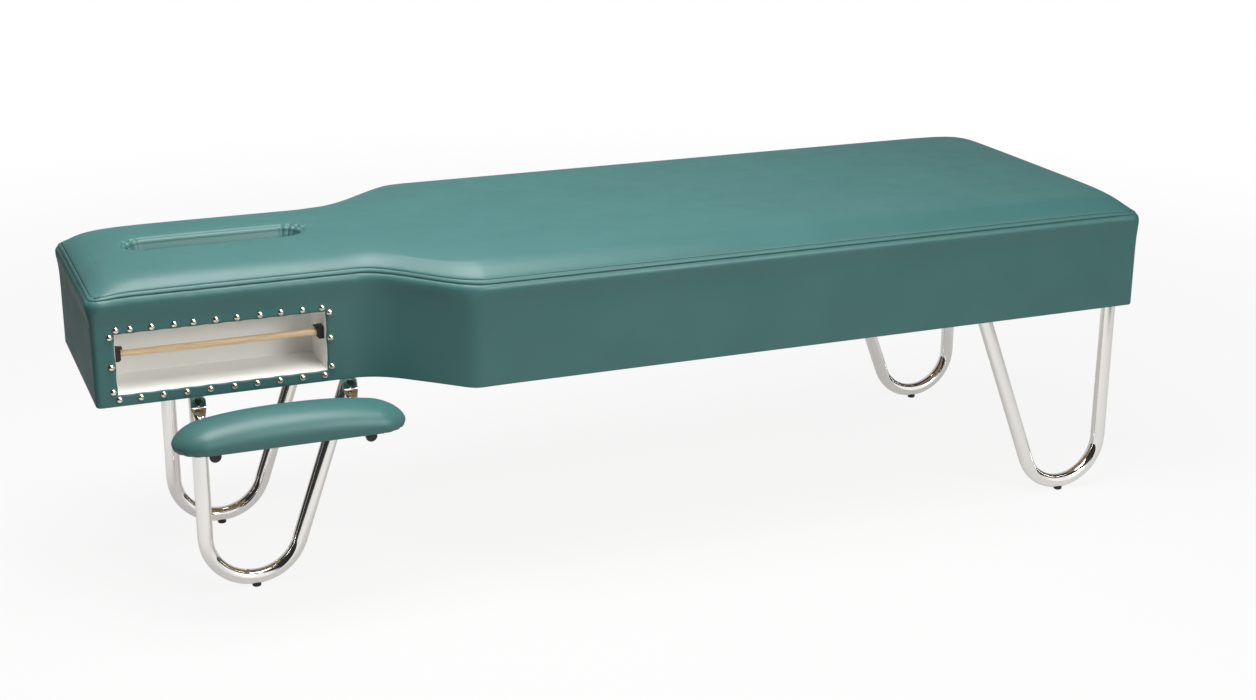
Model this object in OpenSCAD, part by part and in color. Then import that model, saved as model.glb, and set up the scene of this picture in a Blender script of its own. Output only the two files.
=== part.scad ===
// Stationary treatment bench on bent tube legs: a plywood box with a padded top,
// a narrow head section with a face slot, a bay for headrest paper and armrests.
// X runs from the head end (-X) to the foot end (+X), -Y is the side with the
// paper bay, Z is up. The origin is on the floor under the middle of the bench.

/* [Bench top] */
// Length over the cover, head end to foot end
body_length = 1828; // [1600:4:2100]
// Width of the wide part over the cover
body_width = 606; // [560:2:720]
// Width of the narrow head section over the cover
head_width = 367; // [340:1:420]
// Length of the head section before the shoulder begins
head_length = 444; // [420:2:520]
// Length of the slanted shoulder, measured along the bench
shoulder_length = 130; // [100:2:180]
// Height of the lower edge of the side skirt above the floor
skirt_height = 356; // [330:1:480]
// Height from the skirt's lower edge to the seam of the top
seam_rise = 175; // [165:1:210]
// Rise of the padded top above its seam
crown_rise = 35; // [20:1:45]
// How far the foam swells the sides out below the seam
side_swell = 5; // [1:0.5:8]
// Radius of the upright corners of the skirt
skirt_corner = 9; // [6:1:14]
// Radius of the upright corners at the seam
seam_corner = 18; // [14:1:30]
// Thickness of the vinyl cover
cover_t = 1.5; // [1:0.1:2.5]

/* [Wooden box] */
// Thickness of the bottom board and of the deck board
board_t = 12; // [9:1:18]
// Thickness of the rails and cross braces
rail_t = 18; // [15:1:25]
// Height of the rails between the two boards
rail_h = 109.5; // [105:0.5:120]

/* [Face slot] */
// Length of the face slot, end to end
slot_length = 298; // [240:2:320]
// Clear width of the face slot
slot_width = 62; // [50:1:80]
// Distance from the head end to the slot
slot_inset = 73; // [65:1:90]
// Radius of the rolled lip round the slot
lip_radius = 7; // [5:0.5:9]

/* [Paper bay] */
// Clear length of the bay
bay_length = 331; // [280:1:360]
// Distance from the head end to the bay
bay_inset = 34; // [33:1:40]
// Depth of the bay behind the cover
bay_depth = 105; // [95:1:112]
// Thickness of the white lining panels
panel_t = 5.5; // [4:0.5:6]
// Diameter of the domed nails round the bay
nail_d = 10; // [8:0.5:11]
// Diameter of the paper rod
rod_d = 11; // [9:0.5:13]
// Distance of the rod behind the face of the bay
rod_setback = 25.5; // [24:0.5:50]
// Height of the rod's axis above the bay's floor
rod_rise = 59; // [40:1:65]

/* [Legs] */
// Outer diameter of the leg tube
leg_d = 25.4; // [22:0.2:28]
// Wall of the leg tube
leg_wall = 1.6; // [1.2:0.1:2.5]
// Radius of the leg's bend, on the tube's axis
bend_r = 79.5; // [70:0.5:84]
// Slant of the inner limb of a head leg, in degrees
head_leg_lean = 19; // [15:0.5:22]
// Slant of the inner limb of a foot leg, in degrees
foot_leg_lean = 21; // [15:0.5:24]
// Distance from the head end to a head leg's upright limb
head_leg_inset = 160; // [130:1:190]
// Distance from the foot end to a foot leg's upright limb
foot_leg_inset = 30; // [30:1:80]
// Distance from the side of the head section in to a head leg's middle
head_leg_side = 41.5; // [32:0.5:50]
// Distance from the side of the wide part in to a foot leg's middle
foot_leg_side = 31; // [30:1:60]
// Diameter of a glide
glide_d = 15; // [12:0.5:20]
// Height of the leg tube above the floor
glide_gap = 4.5; // [3:0.5:8]

/* [Armrests] */
// Length of an arm pad
pad_length = 372; // [340:2:420]
// Width of an arm pad
pad_width = 100; // [90:1:130]
// Height of an arm pad
pad_height = 50; // [40:1:60]
// Drop from the skirt's lower edge to an arm pad's underside
pad_drop = 56; // [54:1:90]
// Distance from the side of the head section out to the arm pad's middle
pad_reach = 71.5; // [68:0.5:95]
// Outer diameter of the armrest tube
arm_d = 19; // [16:0.5:20]
// Wall of the armrest tube
arm_wall = 1.5; // [1:0.1:2]
// Radius of the armrest tube's bend, on its axis
arm_bend_r = 20; // [16:1:22]

/* [Hidden] */
// Extra depth of every cut, so that it goes right through
overrun = 2;
// Clearance round a piece that is pushed or wrapped into place
fit_gap = 0.3;
// Clearance round a screw, bolt or nail in its hole
hole_gap = 0.1;
// Running clearance round the paper rod in its sockets
rod_fit = 0.1;
// A bent tube is this much fuller round its bend, and its straight runs reach
// this far into the bend
bend_swell = 0.05;
bend_lap = 0.8;
corner_steps = 6;
fine = 64;

// Halves and edges of the bench
half_len = body_length / 2;
half_head = head_width / 2;
half_body = body_width / 2;
shoulder_x0 = head_length - half_len;
shoulder_x1 = shoulder_x0 + shoulder_length;
shoulder_turn = atan2(half_body - half_head, shoulder_length);

// Levels, from the floor up
board_z = skirt_height + cover_t;
rail_z = board_z + board_t;
deck_z = rail_z + rail_h;
foam_z = deck_z + board_t;
seam_z = skirt_height + seam_rise;
crown_z = seam_z + crown_rise;

// The S curve reaches this share of the shoulder's length past its ends
s_curve_share = 0.45;

// The top climbs from its edges: most of the rise comes within crown_reach of
// one, and corner_drop lowers the crown towards the corners
crown_reach = 25;
crown_bend = 0.9;
corner_drop = 0.7;

// Wooden box
return_w = 10;
brace_gap_share = 0.36;
brace_foot_share = 0.7;

// Face slot
slot_r = slot_width / 2;
slot_x0 = slot_inset - half_len + slot_r;
slot_x1 = slot_inset - half_len + slot_length - slot_r;
lip_z = crown_at([slot_x0 - slot_r - lip_radius, 0]) - cover_t;
collar_wall = 12;
lining_r = slot_r + cover_t;

// Foam core under the padded top
core_t = 30;
core_inset = 32;

// Paper bay
bay_x0 = bay_inset - half_len;
bay_x1 = bay_x0 + bay_length;
bay_y = cover_t - half_head;
bay_back_y = bay_depth - half_head;
bay_z0 = rail_z + panel_t;
bay_z1 = deck_z - panel_t;
rod_y = rod_setback - half_head;
rod_z = bay_z0 + rod_rise;
rod_end_gap = 0.5;
rod_seat = 6;
socket_d = 20;
socket_reach = 10.5;
socket_bevel = 3;
socket_back = 3;
tongue_reach = 14;
tongue_t = 2.5;
tongue_w = 12;
socket_rise = 0.5;
socket_screw_d = 3;
socket_screw_head = 5.4;
socket_screw_len = 8.4;

// Nails round the bay
nail_dome = 3.2;
nail_shank_d = 1.5;
nail_shank_len = 12;
nail_margin = 7;
// Places along the bay's edges as shares of their length: driven by hand, so
// the steps differ
top_nails = [0.01, 0.075, 0.175, 0.28, 0.37, 0.475, 0.575, 0.685, 0.785, 0.89, 0.985];
bottom_nails = [0.005, 0.105, 0.21, 0.32, 0.43, 0.545, 0.655, 0.765, 0.875, 0.985];
head_nails = [0.06, 0.47, 0.96];
foot_nails = [0.065, 0.55, 0.98];

// Legs
leg_r = leg_d / 2;
plate_w = 38;
plate_t = 5;
plate_end = 17.5;
leg_top = board_z - plate_t;
head_leg_y = half_head - head_leg_side;
foot_leg_y = half_body - foot_leg_side;
bend_z = glide_gap + leg_r + bend_r;
plate_screw_shares = [0.16, 0.38, 0.62, 0.84];
plate_screw_d = 5;
plate_screw_head = 10;
plate_screw_head_h = 2.8;
plate_grip_share = 0.85;
plate_screw_grip = board_t * plate_grip_share;
glide_h = 7;
glide_round = 1.2;

// Armrests
arm_r = arm_d / 2;
pad_base = skirt_height - pad_drop;
pad_offset = half_head + pad_reach;
tab_w = 25;
tab_t = 3;
tab_flat = 20;
tab_fade = 15;
tab_top_gap = 2;
arm_bolt_drop = 12;
arm_bolt_d = 6;
arm_bolt_head = 11;
arm_bolt_head_h = 3.6;
arm_nut_h = 5;
plug_t = 3;
plug_stub = 12;
arm_end_gap = 24;
pad_board_t = 9;
pad_board_inset = 9;
arm_screw_d = 4;
arm_screw_head = 8;
arm_screw_head_h = 2.2;
arm_screw_bite = 6;
arm_screw_shares = [-0.22, 0.06];

// Colours
vinyl = [0.26, 0.44, 0.43];
plywood = [0.80, 0.68, 0.50];
laminate = [0.93, 0.92, 0.88];
chrome = [0.80, 0.81, 0.83];
black = [0.10, 0.10, 0.10];
steel = [0.62, 0.62, 0.64];
foam = [0.93, 0.88, 0.70];
dowel = [0.86, 0.77, 0.66];

// Plan outlines

function arc_points(c, r, a0, a1, n) =
  [for (i = [0:n]) let (a = a0 + (a1 - a0) * i / n) [c[0] + r * cos(a), c[1] + r * sin(a)]];

// A corner of the shoulder, moved in square to both sides that meet there
function kink_head(inset, side) =
  [shoulder_x0 + inset * tan(shoulder_turn / 2), side * (half_head - inset)];
function kink_body(inset, side) =
  [shoulder_x1 + inset * tan(shoulder_turn / 2), side * (half_body - inset)];

// The bench seen from above, moved in by inset, with rounded corners
function plan(inset, r) = let (
    x = half_len - inset - r,
    h = half_head - inset - r,
    b = half_body - inset - r
  ) concat(
    arc_points([-x, -h], r, 180, 270, corner_steps),
    [kink_head(inset, -1), kink_body(inset, -1)],
    arc_points([x, -b], r, 270, 360, corner_steps),
    arc_points([x, b], r, 0, 90, corner_steps),
    [kink_body(inset, 1), kink_head(inset, 1)],
    arc_points([-x, h], r, 90, 180, corner_steps)
  );

module plan_slab(inset, z, h)
  translate([0, 0, z])
    linear_extrude(h) polygon(plan(inset, skirt_corner - min(inset, skirt_corner - cover_t)));

// The face slot grown by grow, as a solid that stands on z
module slot_solid(grow, z, h) {
  for (x = [slot_x0, slot_x1])
    translate([x, 0, z]) cylinder(r = slot_r + grow, h = h, $fn = fine);
  translate([slot_x0, -slot_r - grow, z])
    cube([slot_x1 - slot_x0, slot_width + 2 * grow, h]);
}

// A profile, drawn with its X as the distance from the slot's middle line,
// carried once round the face slot
module round_slot() {
  translate([slot_x0, 0, 0]) rotate([0, 0, 90]) rotate_extrude(angle = 180, $fn = fine) children();
  translate([slot_x1, 0, 0]) rotate([0, 0, -90]) rotate_extrude(angle = 180, $fn = fine) children();
  for (side = [0, 180])
    translate([(slot_x0 + slot_x1) / 2, 0, 0]) rotate([0, 0, side])
      translate([(slot_x0 - slot_x1) / 2, 0, 0])
        rotate([90, 0, 90]) linear_extrude(slot_x1 - slot_x0) children();
}

// Nails: each place is [x, z] on the near face of the head section

nail_x0 = bay_x0 - nail_margin;
nail_x1 = bay_x1 + nail_margin;
nail_z0 = bay_z0 - nail_margin;
nail_z1 = bay_z1 + nail_margin;
nail_places = concat(
  [for (share = top_nails) [bay_x0 + share * bay_length, nail_z1]],
  [for (share = bottom_nails) [bay_x0 + share * bay_length, nail_z0]],
  [for (share = head_nails) [nail_x0, bay_z0 + share * (bay_z1 - bay_z0)]],
  [for (share = foot_nails) [nail_x1, bay_z0 + share * (bay_z1 - bay_z0)]]
);

module nail_holes()
  for (p = nail_places)
    translate([p[0], -half_head - overrun, p[1]]) rotate([-90, 0, 0])
      cylinder(d = nail_shank_d + 2 * hole_gap, h = nail_shank_len + 2 * overrun, $fn = 24);

module bay_nails()
  color(steel) for (p = nail_places) translate([p[0], -half_head, p[1]]) rotate([90, 0, 0]) {
    nail_head();
    translate([0, 0, -nail_shank_len])
      cylinder(d = nail_shank_d, h = nail_shank_len + nail_dome / 2, $fn = 24);
  }

// A domed head that stands on z = 0
module nail_head() {
  ball_r = (nail_d * nail_d / 4 + nail_dome * nail_dome) / (2 * nail_dome);
  intersection() {
    translate([0, 0, nail_dome - ball_r]) sphere(r = ball_r, $fn = 32);
    cylinder(d = nail_d + overrun, h = nail_dome + overrun, $fn = 32);
  }
}

// Wooden box

// Screw places under one leg: [x, y]
function plate_holes(spot) = [for (s = plate_screw_shares)
  [spot_x(spot) + spot_dir(spot) * leg_span(spot) * s, spot_y(spot)]];

module plate_screw_holes()
  for (spot = leg_spots, p = plate_holes(spot))
    translate([p[0], p[1], board_z - plate_t - overrun])
      cylinder(d = plate_screw_d + 2 * hole_gap, h = plate_t + plate_screw_grip + 2 * overrun, $fn = 24);

module bottom_board() color(plywood) difference() {
  plan_slab(cover_t, board_z, board_t);
  slot_solid(cover_t + fit_gap, board_z - overrun, board_t + 2 * overrun);
  nail_holes();
  plate_screw_holes();
}

module deck_board() color(plywood) difference() {
  plan_slab(cover_t, deck_z, board_t);
  slot_solid(cover_t + fit_gap, deck_z - overrun, board_t + 2 * overrun);
  nail_holes();
}

module upright(points) translate([0, 0, rail_z]) linear_extrude(rail_h) polygon(points);

rail_in = cover_t + rail_t;
end_x = half_len - rail_in;

module side_rail(side) color(plywood) upright([
  kink_body(cover_t, side), [end_x, side * (half_body - cover_t)],
  [end_x, side * (half_body - rail_in)], kink_body(rail_in, side)
]);

module shoulder_rail(side) color(plywood) upright([
  kink_head(cover_t, side), kink_body(cover_t, side),
  kink_body(rail_in, side), kink_head(rail_in, side)
]);

module head_rail_far() color(plywood) upright([
  [-end_x, half_head - cover_t], kink_head(cover_t, 1),
  kink_head(rail_in, 1), [-end_x, half_head - rail_in]
]);

module head_rail_near() color(plywood) difference() {
  upright([
    [bay_x1 + panel_t, cover_t - half_head], kink_head(cover_t, -1),
    kink_head(rail_in, -1), [bay_x1 + panel_t, rail_in - half_head]
  ]);
  nail_holes();
}

// A short post that closes the corner beside the bay
module bay_post() color(plywood) difference() {
  translate([-end_x, cover_t - half_head, rail_z])
    cube([bay_x0 - panel_t + end_x, 2 * rail_t, rail_h]);
  nail_holes();
}

module end_rail(dir) color(plywood) intersection() {
  plan_slab(cover_t, rail_z, rail_h);
  translate([dir > 0 ? end_x : -half_len, -half_body, rail_z])
    cube([rail_in, body_width, rail_h]);
}

module cross_brace(x, y0, y1) color(plywood)
  translate([x, y0, rail_z]) cube([rail_t, y1 - y0, rail_h]);

// A brace across the wide part, share of the way from the shoulder to the foot end
module body_brace(share)
  cross_brace(shoulder_x1 + (half_len - shoulder_x1) * share, rail_in - half_body, half_body - rail_in);

slot_box_x0 = slot_x0 - lining_r - fit_gap - collar_wall;
slot_box_x1 = slot_x1 + lining_r + fit_gap + collar_wall;
slot_box_y = lining_r + fit_gap + collar_wall;

module slot_collar() color(plywood) difference() {
  translate([slot_box_x0, -slot_box_y, rail_z])
    cube([slot_box_x1 - slot_box_x0, 2 * slot_box_y, rail_h]);
  slot_solid(cover_t + fit_gap, rail_z - overrun, rail_h + 2 * overrun);
}

// Paper bay

module bay_floor() color(laminate)
  translate([bay_x0 - panel_t, bay_y, rail_z])
    cube([bay_length + 2 * panel_t, bay_back_y + panel_t - bay_y, panel_t]);

module bay_ceiling() color(laminate)
  translate([bay_x0 - panel_t, bay_y, bay_z1])
    cube([bay_length + 2 * panel_t, bay_back_y + panel_t - bay_y, panel_t]);

module bay_back() color(laminate)
  translate([bay_x0 - panel_t, bay_back_y, bay_z0])
    cube([bay_length + 2 * panel_t, panel_t, bay_z1 - bay_z0]);

module bay_end(x) color(laminate) difference() {
  translate([x, bay_y, bay_z0]) cube([panel_t, bay_back_y - bay_y, bay_z1 - bay_z0]);
  socket_screw_bores();
}

// Sockets on the end walls. Each is drawn at the head end, reaching towards +X
// from x = 0, with the rod's axis on the X axis.

module socket_screw_bores()
  for (x = [bay_x0, bay_x1])
    translate([x - socket_screw_len, rod_y, rod_z]) rotate([0, 90, 0])
      cylinder(d = socket_screw_d + 2 * hole_gap, h = 2 * socket_screw_len, $fn = 24);

module rod_socket_shape() difference() {
  union() {
    translate([0, socket_d / 2, 0]) rotate([90, 0, 0]) linear_extrude(socket_d) polygon([
      [0, -socket_d / 2], [socket_reach - socket_bevel, -socket_d / 2],
      [socket_reach, socket_bevel - socket_d / 2], [socket_reach, socket_d / 2 - socket_bevel],
      [socket_reach - socket_bevel, socket_d / 2], [0, socket_d / 2]
    ]);
    translate([0, -tongue_w / 2, socket_d / 2 - tongue_t + socket_rise])
      cube([tongue_reach, tongue_w, tongue_t]);
  }
  translate([socket_reach - rod_seat, 0, 0]) rotate([0, 90, 0])
    cylinder(r = rod_d / 2 + rod_fit, h = rod_seat + overrun, $fn = fine);
  translate([-overrun, 0, 0]) rotate([0, 90, 0])
    cylinder(d = socket_screw_d + 2 * hole_gap, h = socket_reach, $fn = 24);
  translate([socket_back, 0, 0]) rotate([0, 90, 0])
    cylinder(d = socket_screw_head + 2 * hole_gap, h = socket_reach, $fn = 24);
}

module rod_socket(x, dir) color(black)
  translate([x, rod_y, rod_z]) scale([dir, 1, 1]) rod_socket_shape();

module socket_screws() color(steel)
  for (m = [[bay_x0, 1], [bay_x1, -1]])
    translate([m[0], rod_y, rod_z]) rotate([0, m[1] * 90, 0]) {
      translate([0, 0, socket_back - socket_screw_len])
        cylinder(d = socket_screw_d, h = socket_screw_len, $fn = 24);
      translate([0, 0, socket_back])
        cylinder(d = socket_screw_head, h = socket_reach - rod_seat - socket_back - rod_end_gap, $fn = 24);
    }

module paper_rod() color(dowel)
  translate([bay_x0 + socket_reach - rod_seat + rod_end_gap, rod_y, rod_z]) rotate([0, 90, 0])
    cylinder(d = rod_d, h = bay_length - 2 * (socket_reach - rod_seat + rod_end_gap), $fn = fine);

// Padding and cover

module foam_core() color(foam) difference() {
  plan_slab(core_inset, foam_z, core_t);
  slot_solid(cover_t + fit_gap, foam_z - overrun, core_t + 2 * overrun);
}

// Half width at x. Straight sides and sharp turns at smooth = 0, a flowing
// S curve at smooth = 1.
function ramp(t) = min(max(t, 0), 1);
function ease(t) = t * t * (3 - 2 * t);
function shoulder_share(x) = (x - shoulder_x0) / shoulder_length;
function curve_share(x) = ramp((shoulder_share(x) + s_curve_share) / (1 + 2 * s_curve_share));
function half_width(x, smooth) = half_head + (half_body - half_head)
  * (ramp(shoulder_share(x)) * (1 - smooth) + ease(curve_share(x)) * smooth);

// Height of the top at p = [x, y]
function climb(distance) = 1 - exp(-pow(max(distance, 0) / crown_reach, crown_bend));
function curve_slope(x) = let (t = curve_share(x))
  6 * t * (1 - t) * (half_body - half_head) / (shoulder_length * (1 + 2 * s_curve_share));
function crown_at(p) = let (
    side = climb((half_width(p[0], 1) - abs(p[1])) / norm([1, curve_slope(p[0])])),
    end = climb(half_len - abs(p[0]))
  ) seam_z + crown_rise * side * end * (1 - corner_drop * (1 - side) * (1 - end));

// The outline in points: rim(smooth) runs once round the bench, and each of its
// points moves towards its own point of core as the top rises. Near the corners
// the points lie closer together, at the distances of corner_steps_in.
edge_band = 110;
corner_steps_in = [0.15 * edge_band, 0.4 * edge_band, 0.8 * edge_band];
corner_n = 4;
head_n = 4;
shoulder_n = 10;
body_n = 6;
end_n = 3;
flow_x0 = shoulder_x0 - s_curve_share * shoulder_length;
flow_x1 = shoulder_x1 + s_curve_share * shoulder_length;
corner_x = half_len - seam_corner;
core_x = half_len - edge_band;
straight_x = half_len - 2 * edge_band;
foot_y = half_body - seam_corner;
head_y = half_head - seam_corner;
function between(a, b, n) = [for (i = [1:n]) a + (b - a) * i / n];

// Places from -a to b, without either, by way of the places in middle
function stations(a, b, middle) = concat(
  [for (d = corner_steps_in) d - a], middle,
  [for (i = [len(corner_steps_in) - 2:-1:0]) b - corner_steps_in[i]]
);
dense = max(corner_steps_in);
rim_xs = stations(corner_x, corner_x, concat(
  between(dense - corner_x, flow_x0, head_n), between(flow_x0, flow_x1, shoulder_n),
  between(flow_x1, corner_x - dense, body_n)
));
function end_ys(h) = stations(h, h, between(dense - h, h - dense, end_n));
end_k = len(end_ys(foot_y));
function core_of(x) = let (far = max(abs(x) - straight_x, 0))
  sign(x) * (abs(x) - far * (edge_band - seam_corner) / (corner_x - straight_x));

function near_rim(smooth) = concat(
  arc_points([-corner_x, -head_y], seam_corner, 180, 270, corner_n),
  [for (x = rim_xs) [x, -half_width(x, smooth)]],
  arc_points([corner_x, -foot_y], seam_corner, 270, 360, corner_n)
);
near_core = concat(
  [for (i = [0:corner_n]) [-core_x, edge_band - half_head]],
  [for (x = rim_xs) [core_of(x), edge_band - half_width(x, 1)]],
  [for (i = [0:corner_n]) [core_x, edge_band - half_body]]
);
near_n = len(near_core);
function far_side(points) = [for (i = [near_n - 1:-1:0]) [points[i][0], -points[i][1]]];

function rim(smooth) = let (near = near_rim(smooth)) concat(
  near, [for (y = end_ys(foot_y)) [half_len, y]],
  far_side(near), [for (y = end_ys(head_y)) [-half_len, -y]]
);
core = concat(
  near_core, [for (y = end_ys(foot_y)) [core_x, y * (half_body - edge_band) / foot_y]],
  far_side(near_core), [for (y = end_ys(head_y)) [-core_x, -y * (half_head - edge_band) / head_y]]
);
rim_n = len(core);

// The spine is the middle line that the top closes on
spine_first = min([for (i = [0:near_n - 1]) if (near_core[i][0] > -straight_x) i]);
spine_last = max([for (i = [0:near_n - 1]) if (near_core[i][0] < straight_x) i]);
function spine_at(i) = let (
    k = i < near_n ? i
      : i < near_n + end_k ? near_n
      : i < 2 * near_n + end_k ? 2 * near_n + end_k - 1 - i
      : 0
  ) min(max(k, spine_first), spine_last) - spine_first;

// Rings of the padded side, up to the groove at the seam: [distance in from the
// rim, height, smooth]
foam_side = seam_z - foam_z;
groove = 1.6;
side_rings = [
  [0, foam_z, 0],
  [-0.8 * side_swell, foam_z + 0.25 * foam_side, 0.25],
  [-side_swell, foam_z + 0.55 * foam_side, 0.6],
  [-0.7 * side_swell, foam_z + 0.8 * foam_side, 0.85],
  [0.1 * side_swell, seam_z - groove, 1],
  [groove, seam_z, 1]
];
// Rings of the crown, by their distance in from the rim as a share of edge_band
crown_shares = [0.005, 0.04, 0.1, 0.2, 0.4, 0.75];

function moved_in(points, inset) =
  [for (i = [0:rim_n - 1]) points[i] + (core[i] - points[i]) * inset / edge_band];
function side_ring(row) = [for (p = moved_in(rim(row[2]), row[0])) [p[0], p[1], row[1]]];
function crown_ring(share) = [for (p = moved_in(rim(1), share * edge_band)) [p[0], p[1], crown_at(p)]];
spine_xs = [for (i = [spine_first:spine_last]) near_core[i][0]];

function strip(a, b, n) = [for (i = [0:n - 1]) let (j = (i + 1) % n)
  each [[a + i, b + j, a + j], [a + i, b + i, b + j]]];

// Triangles from a ring at a to the spine at b, turned over for the underside
function close_on_spine(a, b, under) = [for (i = [0:rim_n - 1]) let (
    j = (i + 1) % rim_n,
    p = b + spine_at(i),
    q = b + spine_at(j)
  ) each (p == q ? [under ? [a + i, a + j, p] : [a + i, p, a + j]]
    : under ? [[a + i, a + j, p], [a + j, q, p]] : [[a + i, p, a + j], [a + j, p, q]])];

module padded_top() {
  rings = len(side_rings) + len(crown_shares);
  top_spine = rings * rim_n;
  under_spine = top_spine + len(spine_xs);
  points = concat(
    [for (row = side_rings) each side_ring(row)],
    [for (share = crown_shares) each crown_ring(share)],
    [for (x = spine_xs) [x, 0, crown_at([x, 0])]],
    [for (x = spine_xs) [x, 0, foam_z]]
  );
  faces = concat(
    [for (k = [0:rings - 2]) each strip(k * rim_n, (k + 1) * rim_n, rim_n)],
    close_on_spine((rings - 1) * rim_n, top_spine, false),
    close_on_spine(0, under_spine, true)
  );
  polyhedron(points, faces, convexity = 4);
}

// Room for the lining: the slot itself, widened by its rolled lip
module lip_room() polygon(concat(
  [[0, foam_z - overrun], [lining_r + fit_gap, foam_z - overrun]],
  arc_points([slot_r + lip_radius, lip_z - lip_radius], lip_radius - cover_t - fit_gap, 180, 90, 6),
  [[slot_r + lip_radius + fit_gap, lip_z - cover_t - fit_gap],
   [slot_r + lip_radius + fit_gap, crown_z + overrun], [0, crown_z + overrun]]
));

module lining_profile() polygon(concat(
  [[slot_r, board_z]],
  arc_points([slot_r + lip_radius, lip_z - lip_radius], lip_radius, 180, 90, 6),
  arc_points([slot_r + lip_radius, lip_z - lip_radius], lip_radius - cover_t, 90, 180, 6),
  [[lining_r, board_z]]
));

module top_cushion() color(vinyl) difference() {
  padded_top();
  round_slot() lip_room();
  plan_slab(core_inset - fit_gap, foam_z - overrun, core_t + overrun + fit_gap);
}

module face_slot_lining() color(vinyl) round_slot() lining_profile();

module side_band() color(vinyl) difference() {
  plan_slab(0, skirt_height, foam_z - skirt_height);
  plan_slab(cover_t, board_z, foam_z - board_z + overrun);
  plan_slab(return_w, skirt_height - overrun, cover_t + 2 * overrun);
  translate([bay_x0, -half_head - overrun, bay_z0])
    cube([bay_length, cover_t + 2 * overrun, bay_z1 - bay_z0]);
  nail_holes();
}

// Legs. A spot is [x of the upright limb, direction of the slanted limb, y, lean]

leg_spots = [
  [head_leg_inset - half_len, 1, -head_leg_y, head_leg_lean],
  [head_leg_inset - half_len, 1, head_leg_y, head_leg_lean],
  [half_len - foot_leg_inset, -1, -foot_leg_y, foot_leg_lean],
  [half_len - foot_leg_inset, -1, foot_leg_y, foot_leg_lean]
];
function spot_x(spot) = spot[0];
function spot_dir(spot) = spot[1];
function spot_y(spot) = spot[2];
function spot_lean(spot) = spot[3];

// Distance from the upright limb to the slanted limb's axis at height z
function limb_reach(lean, z) =
  bend_r + bend_r * cos(lean) + (z - bend_z + bend_r * sin(lean)) * tan(lean);
function leg_span(spot) = limb_reach(spot_lean(spot), leg_top);

// The path of one leg as a bar of radius r, drawn with its upright limb on the
// Z axis and its slanted limb towards +X. Both limbs run past the leg's top.
module leg_path(r, lean) {
  translate([0, 0, bend_z - bend_lap]) cylinder(r = r, h = leg_top - bend_z + bend_lap + leg_r, $fn = fine);
  translate([bend_r, 0, bend_z]) rotate([90, 0, 0]) rotate([0, 0, 180])
    rotate_extrude(angle = 180 - lean, $fn = fine)
      translate([bend_r, 0]) circle(r = r + bend_swell, $fn = fine);
  translate([bend_r + bend_r * cos(lean), 0, bend_z - bend_r * sin(lean)]) rotate([0, lean, 0])
    translate([0, 0, -bend_lap])
      cylinder(r = r, h = (leg_top - bend_z + bend_r * sin(lean)) / cos(lean) + leg_d, $fn = fine);
}

module leg_tube(lean, bolted) difference() {
  leg_path(leg_r, lean);
  leg_path(leg_r - leg_wall, lean);
  translate([-leg_d, -leg_d, leg_top]) cube([limb_reach(lean, leg_top) + 3 * leg_d, 2 * leg_d, 2 * leg_d]);
  if (bolted) for (x = [0, limb_reach(lean, arm_bolt_z)])
    translate([x, leg_d, arm_bolt_z]) rotate([90, 0, 0])
      cylinder(d = arm_bolt_d + 2 * hole_gap, h = 2 * leg_d, $fn = 24);
}

module leg(spot) color(chrome)
  translate([spot_x(spot), spot_y(spot), 0]) scale([spot_dir(spot), 1, 1])
    leg_tube(spot_lean(spot), spot_dir(spot) > 0);

// Flat bar across the tops of a leg's two limbs
module plate(spot) color(steel) difference() {
  translate([spot_x(spot), spot_y(spot), leg_top]) scale([spot_dir(spot), 1, 1])
    translate([-plate_end, -plate_w / 2, 0])
      cube([leg_span(spot) + 2 * plate_end, plate_w, plate_t]);
  plate_screw_holes();
}

module plate_screws() color(steel)
  for (spot = leg_spots, p = plate_holes(spot)) translate([p[0], p[1], leg_top]) {
    cylinder(d = plate_screw_d, h = plate_t + plate_screw_grip, $fn = 24);
    translate([0, 0, -plate_screw_head_h])
      cylinder(d1 = plate_screw_head - plate_screw_head_h, d2 = plate_screw_head, h = plate_screw_head_h,
        $fn = 32);
  }

module glide(spot) color(black) difference() {
  translate([spot_x(spot) + spot_dir(spot) * bend_r, spot_y(spot), 0])
    rotate_extrude($fn = 48) polygon([
      [0, 0], [glide_d / 2 - glide_round, 0], [glide_d / 2, glide_round],
      [glide_d / 2, glide_h], [0, glide_h]
    ]);
  translate([spot_x(spot) + spot_dir(spot) * bend_r - glide_d, spot_y(spot), bend_z - bend_r])
    rotate([0, 90, 0]) cylinder(r = leg_r, h = 2 * glide_d, $fn = fine);
}

// Armrests. Each tube is drawn at x = 0 with its tab against y = 0, reaching
// towards -Y, and heights as on the bench.

arm_bolt_z = leg_top - arm_bolt_drop;
arm_spot = leg_spots[0];
arm_face_y = head_leg_y + leg_r;
arm_xs = [spot_x(arm_spot), spot_x(arm_spot) + limb_reach(head_leg_lean, arm_bolt_z)];
arm_run_z = pad_base - arm_r;
tab_top = leg_top - tab_top_gap;
tab_low = tab_top - tab_flat;
round_top = tab_low - tab_fade;
arm_elbow_z = arm_run_z + arm_bend_r;
arm_end = pad_offset + pad_width / 2 - arm_end_gap - arm_face_y;
pad_x = (arm_xs[0] + arm_xs[1]) / 2;
arm_screw_ys = [for (s = arm_screw_shares) pad_offset + pad_width * s - arm_face_y];

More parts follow.
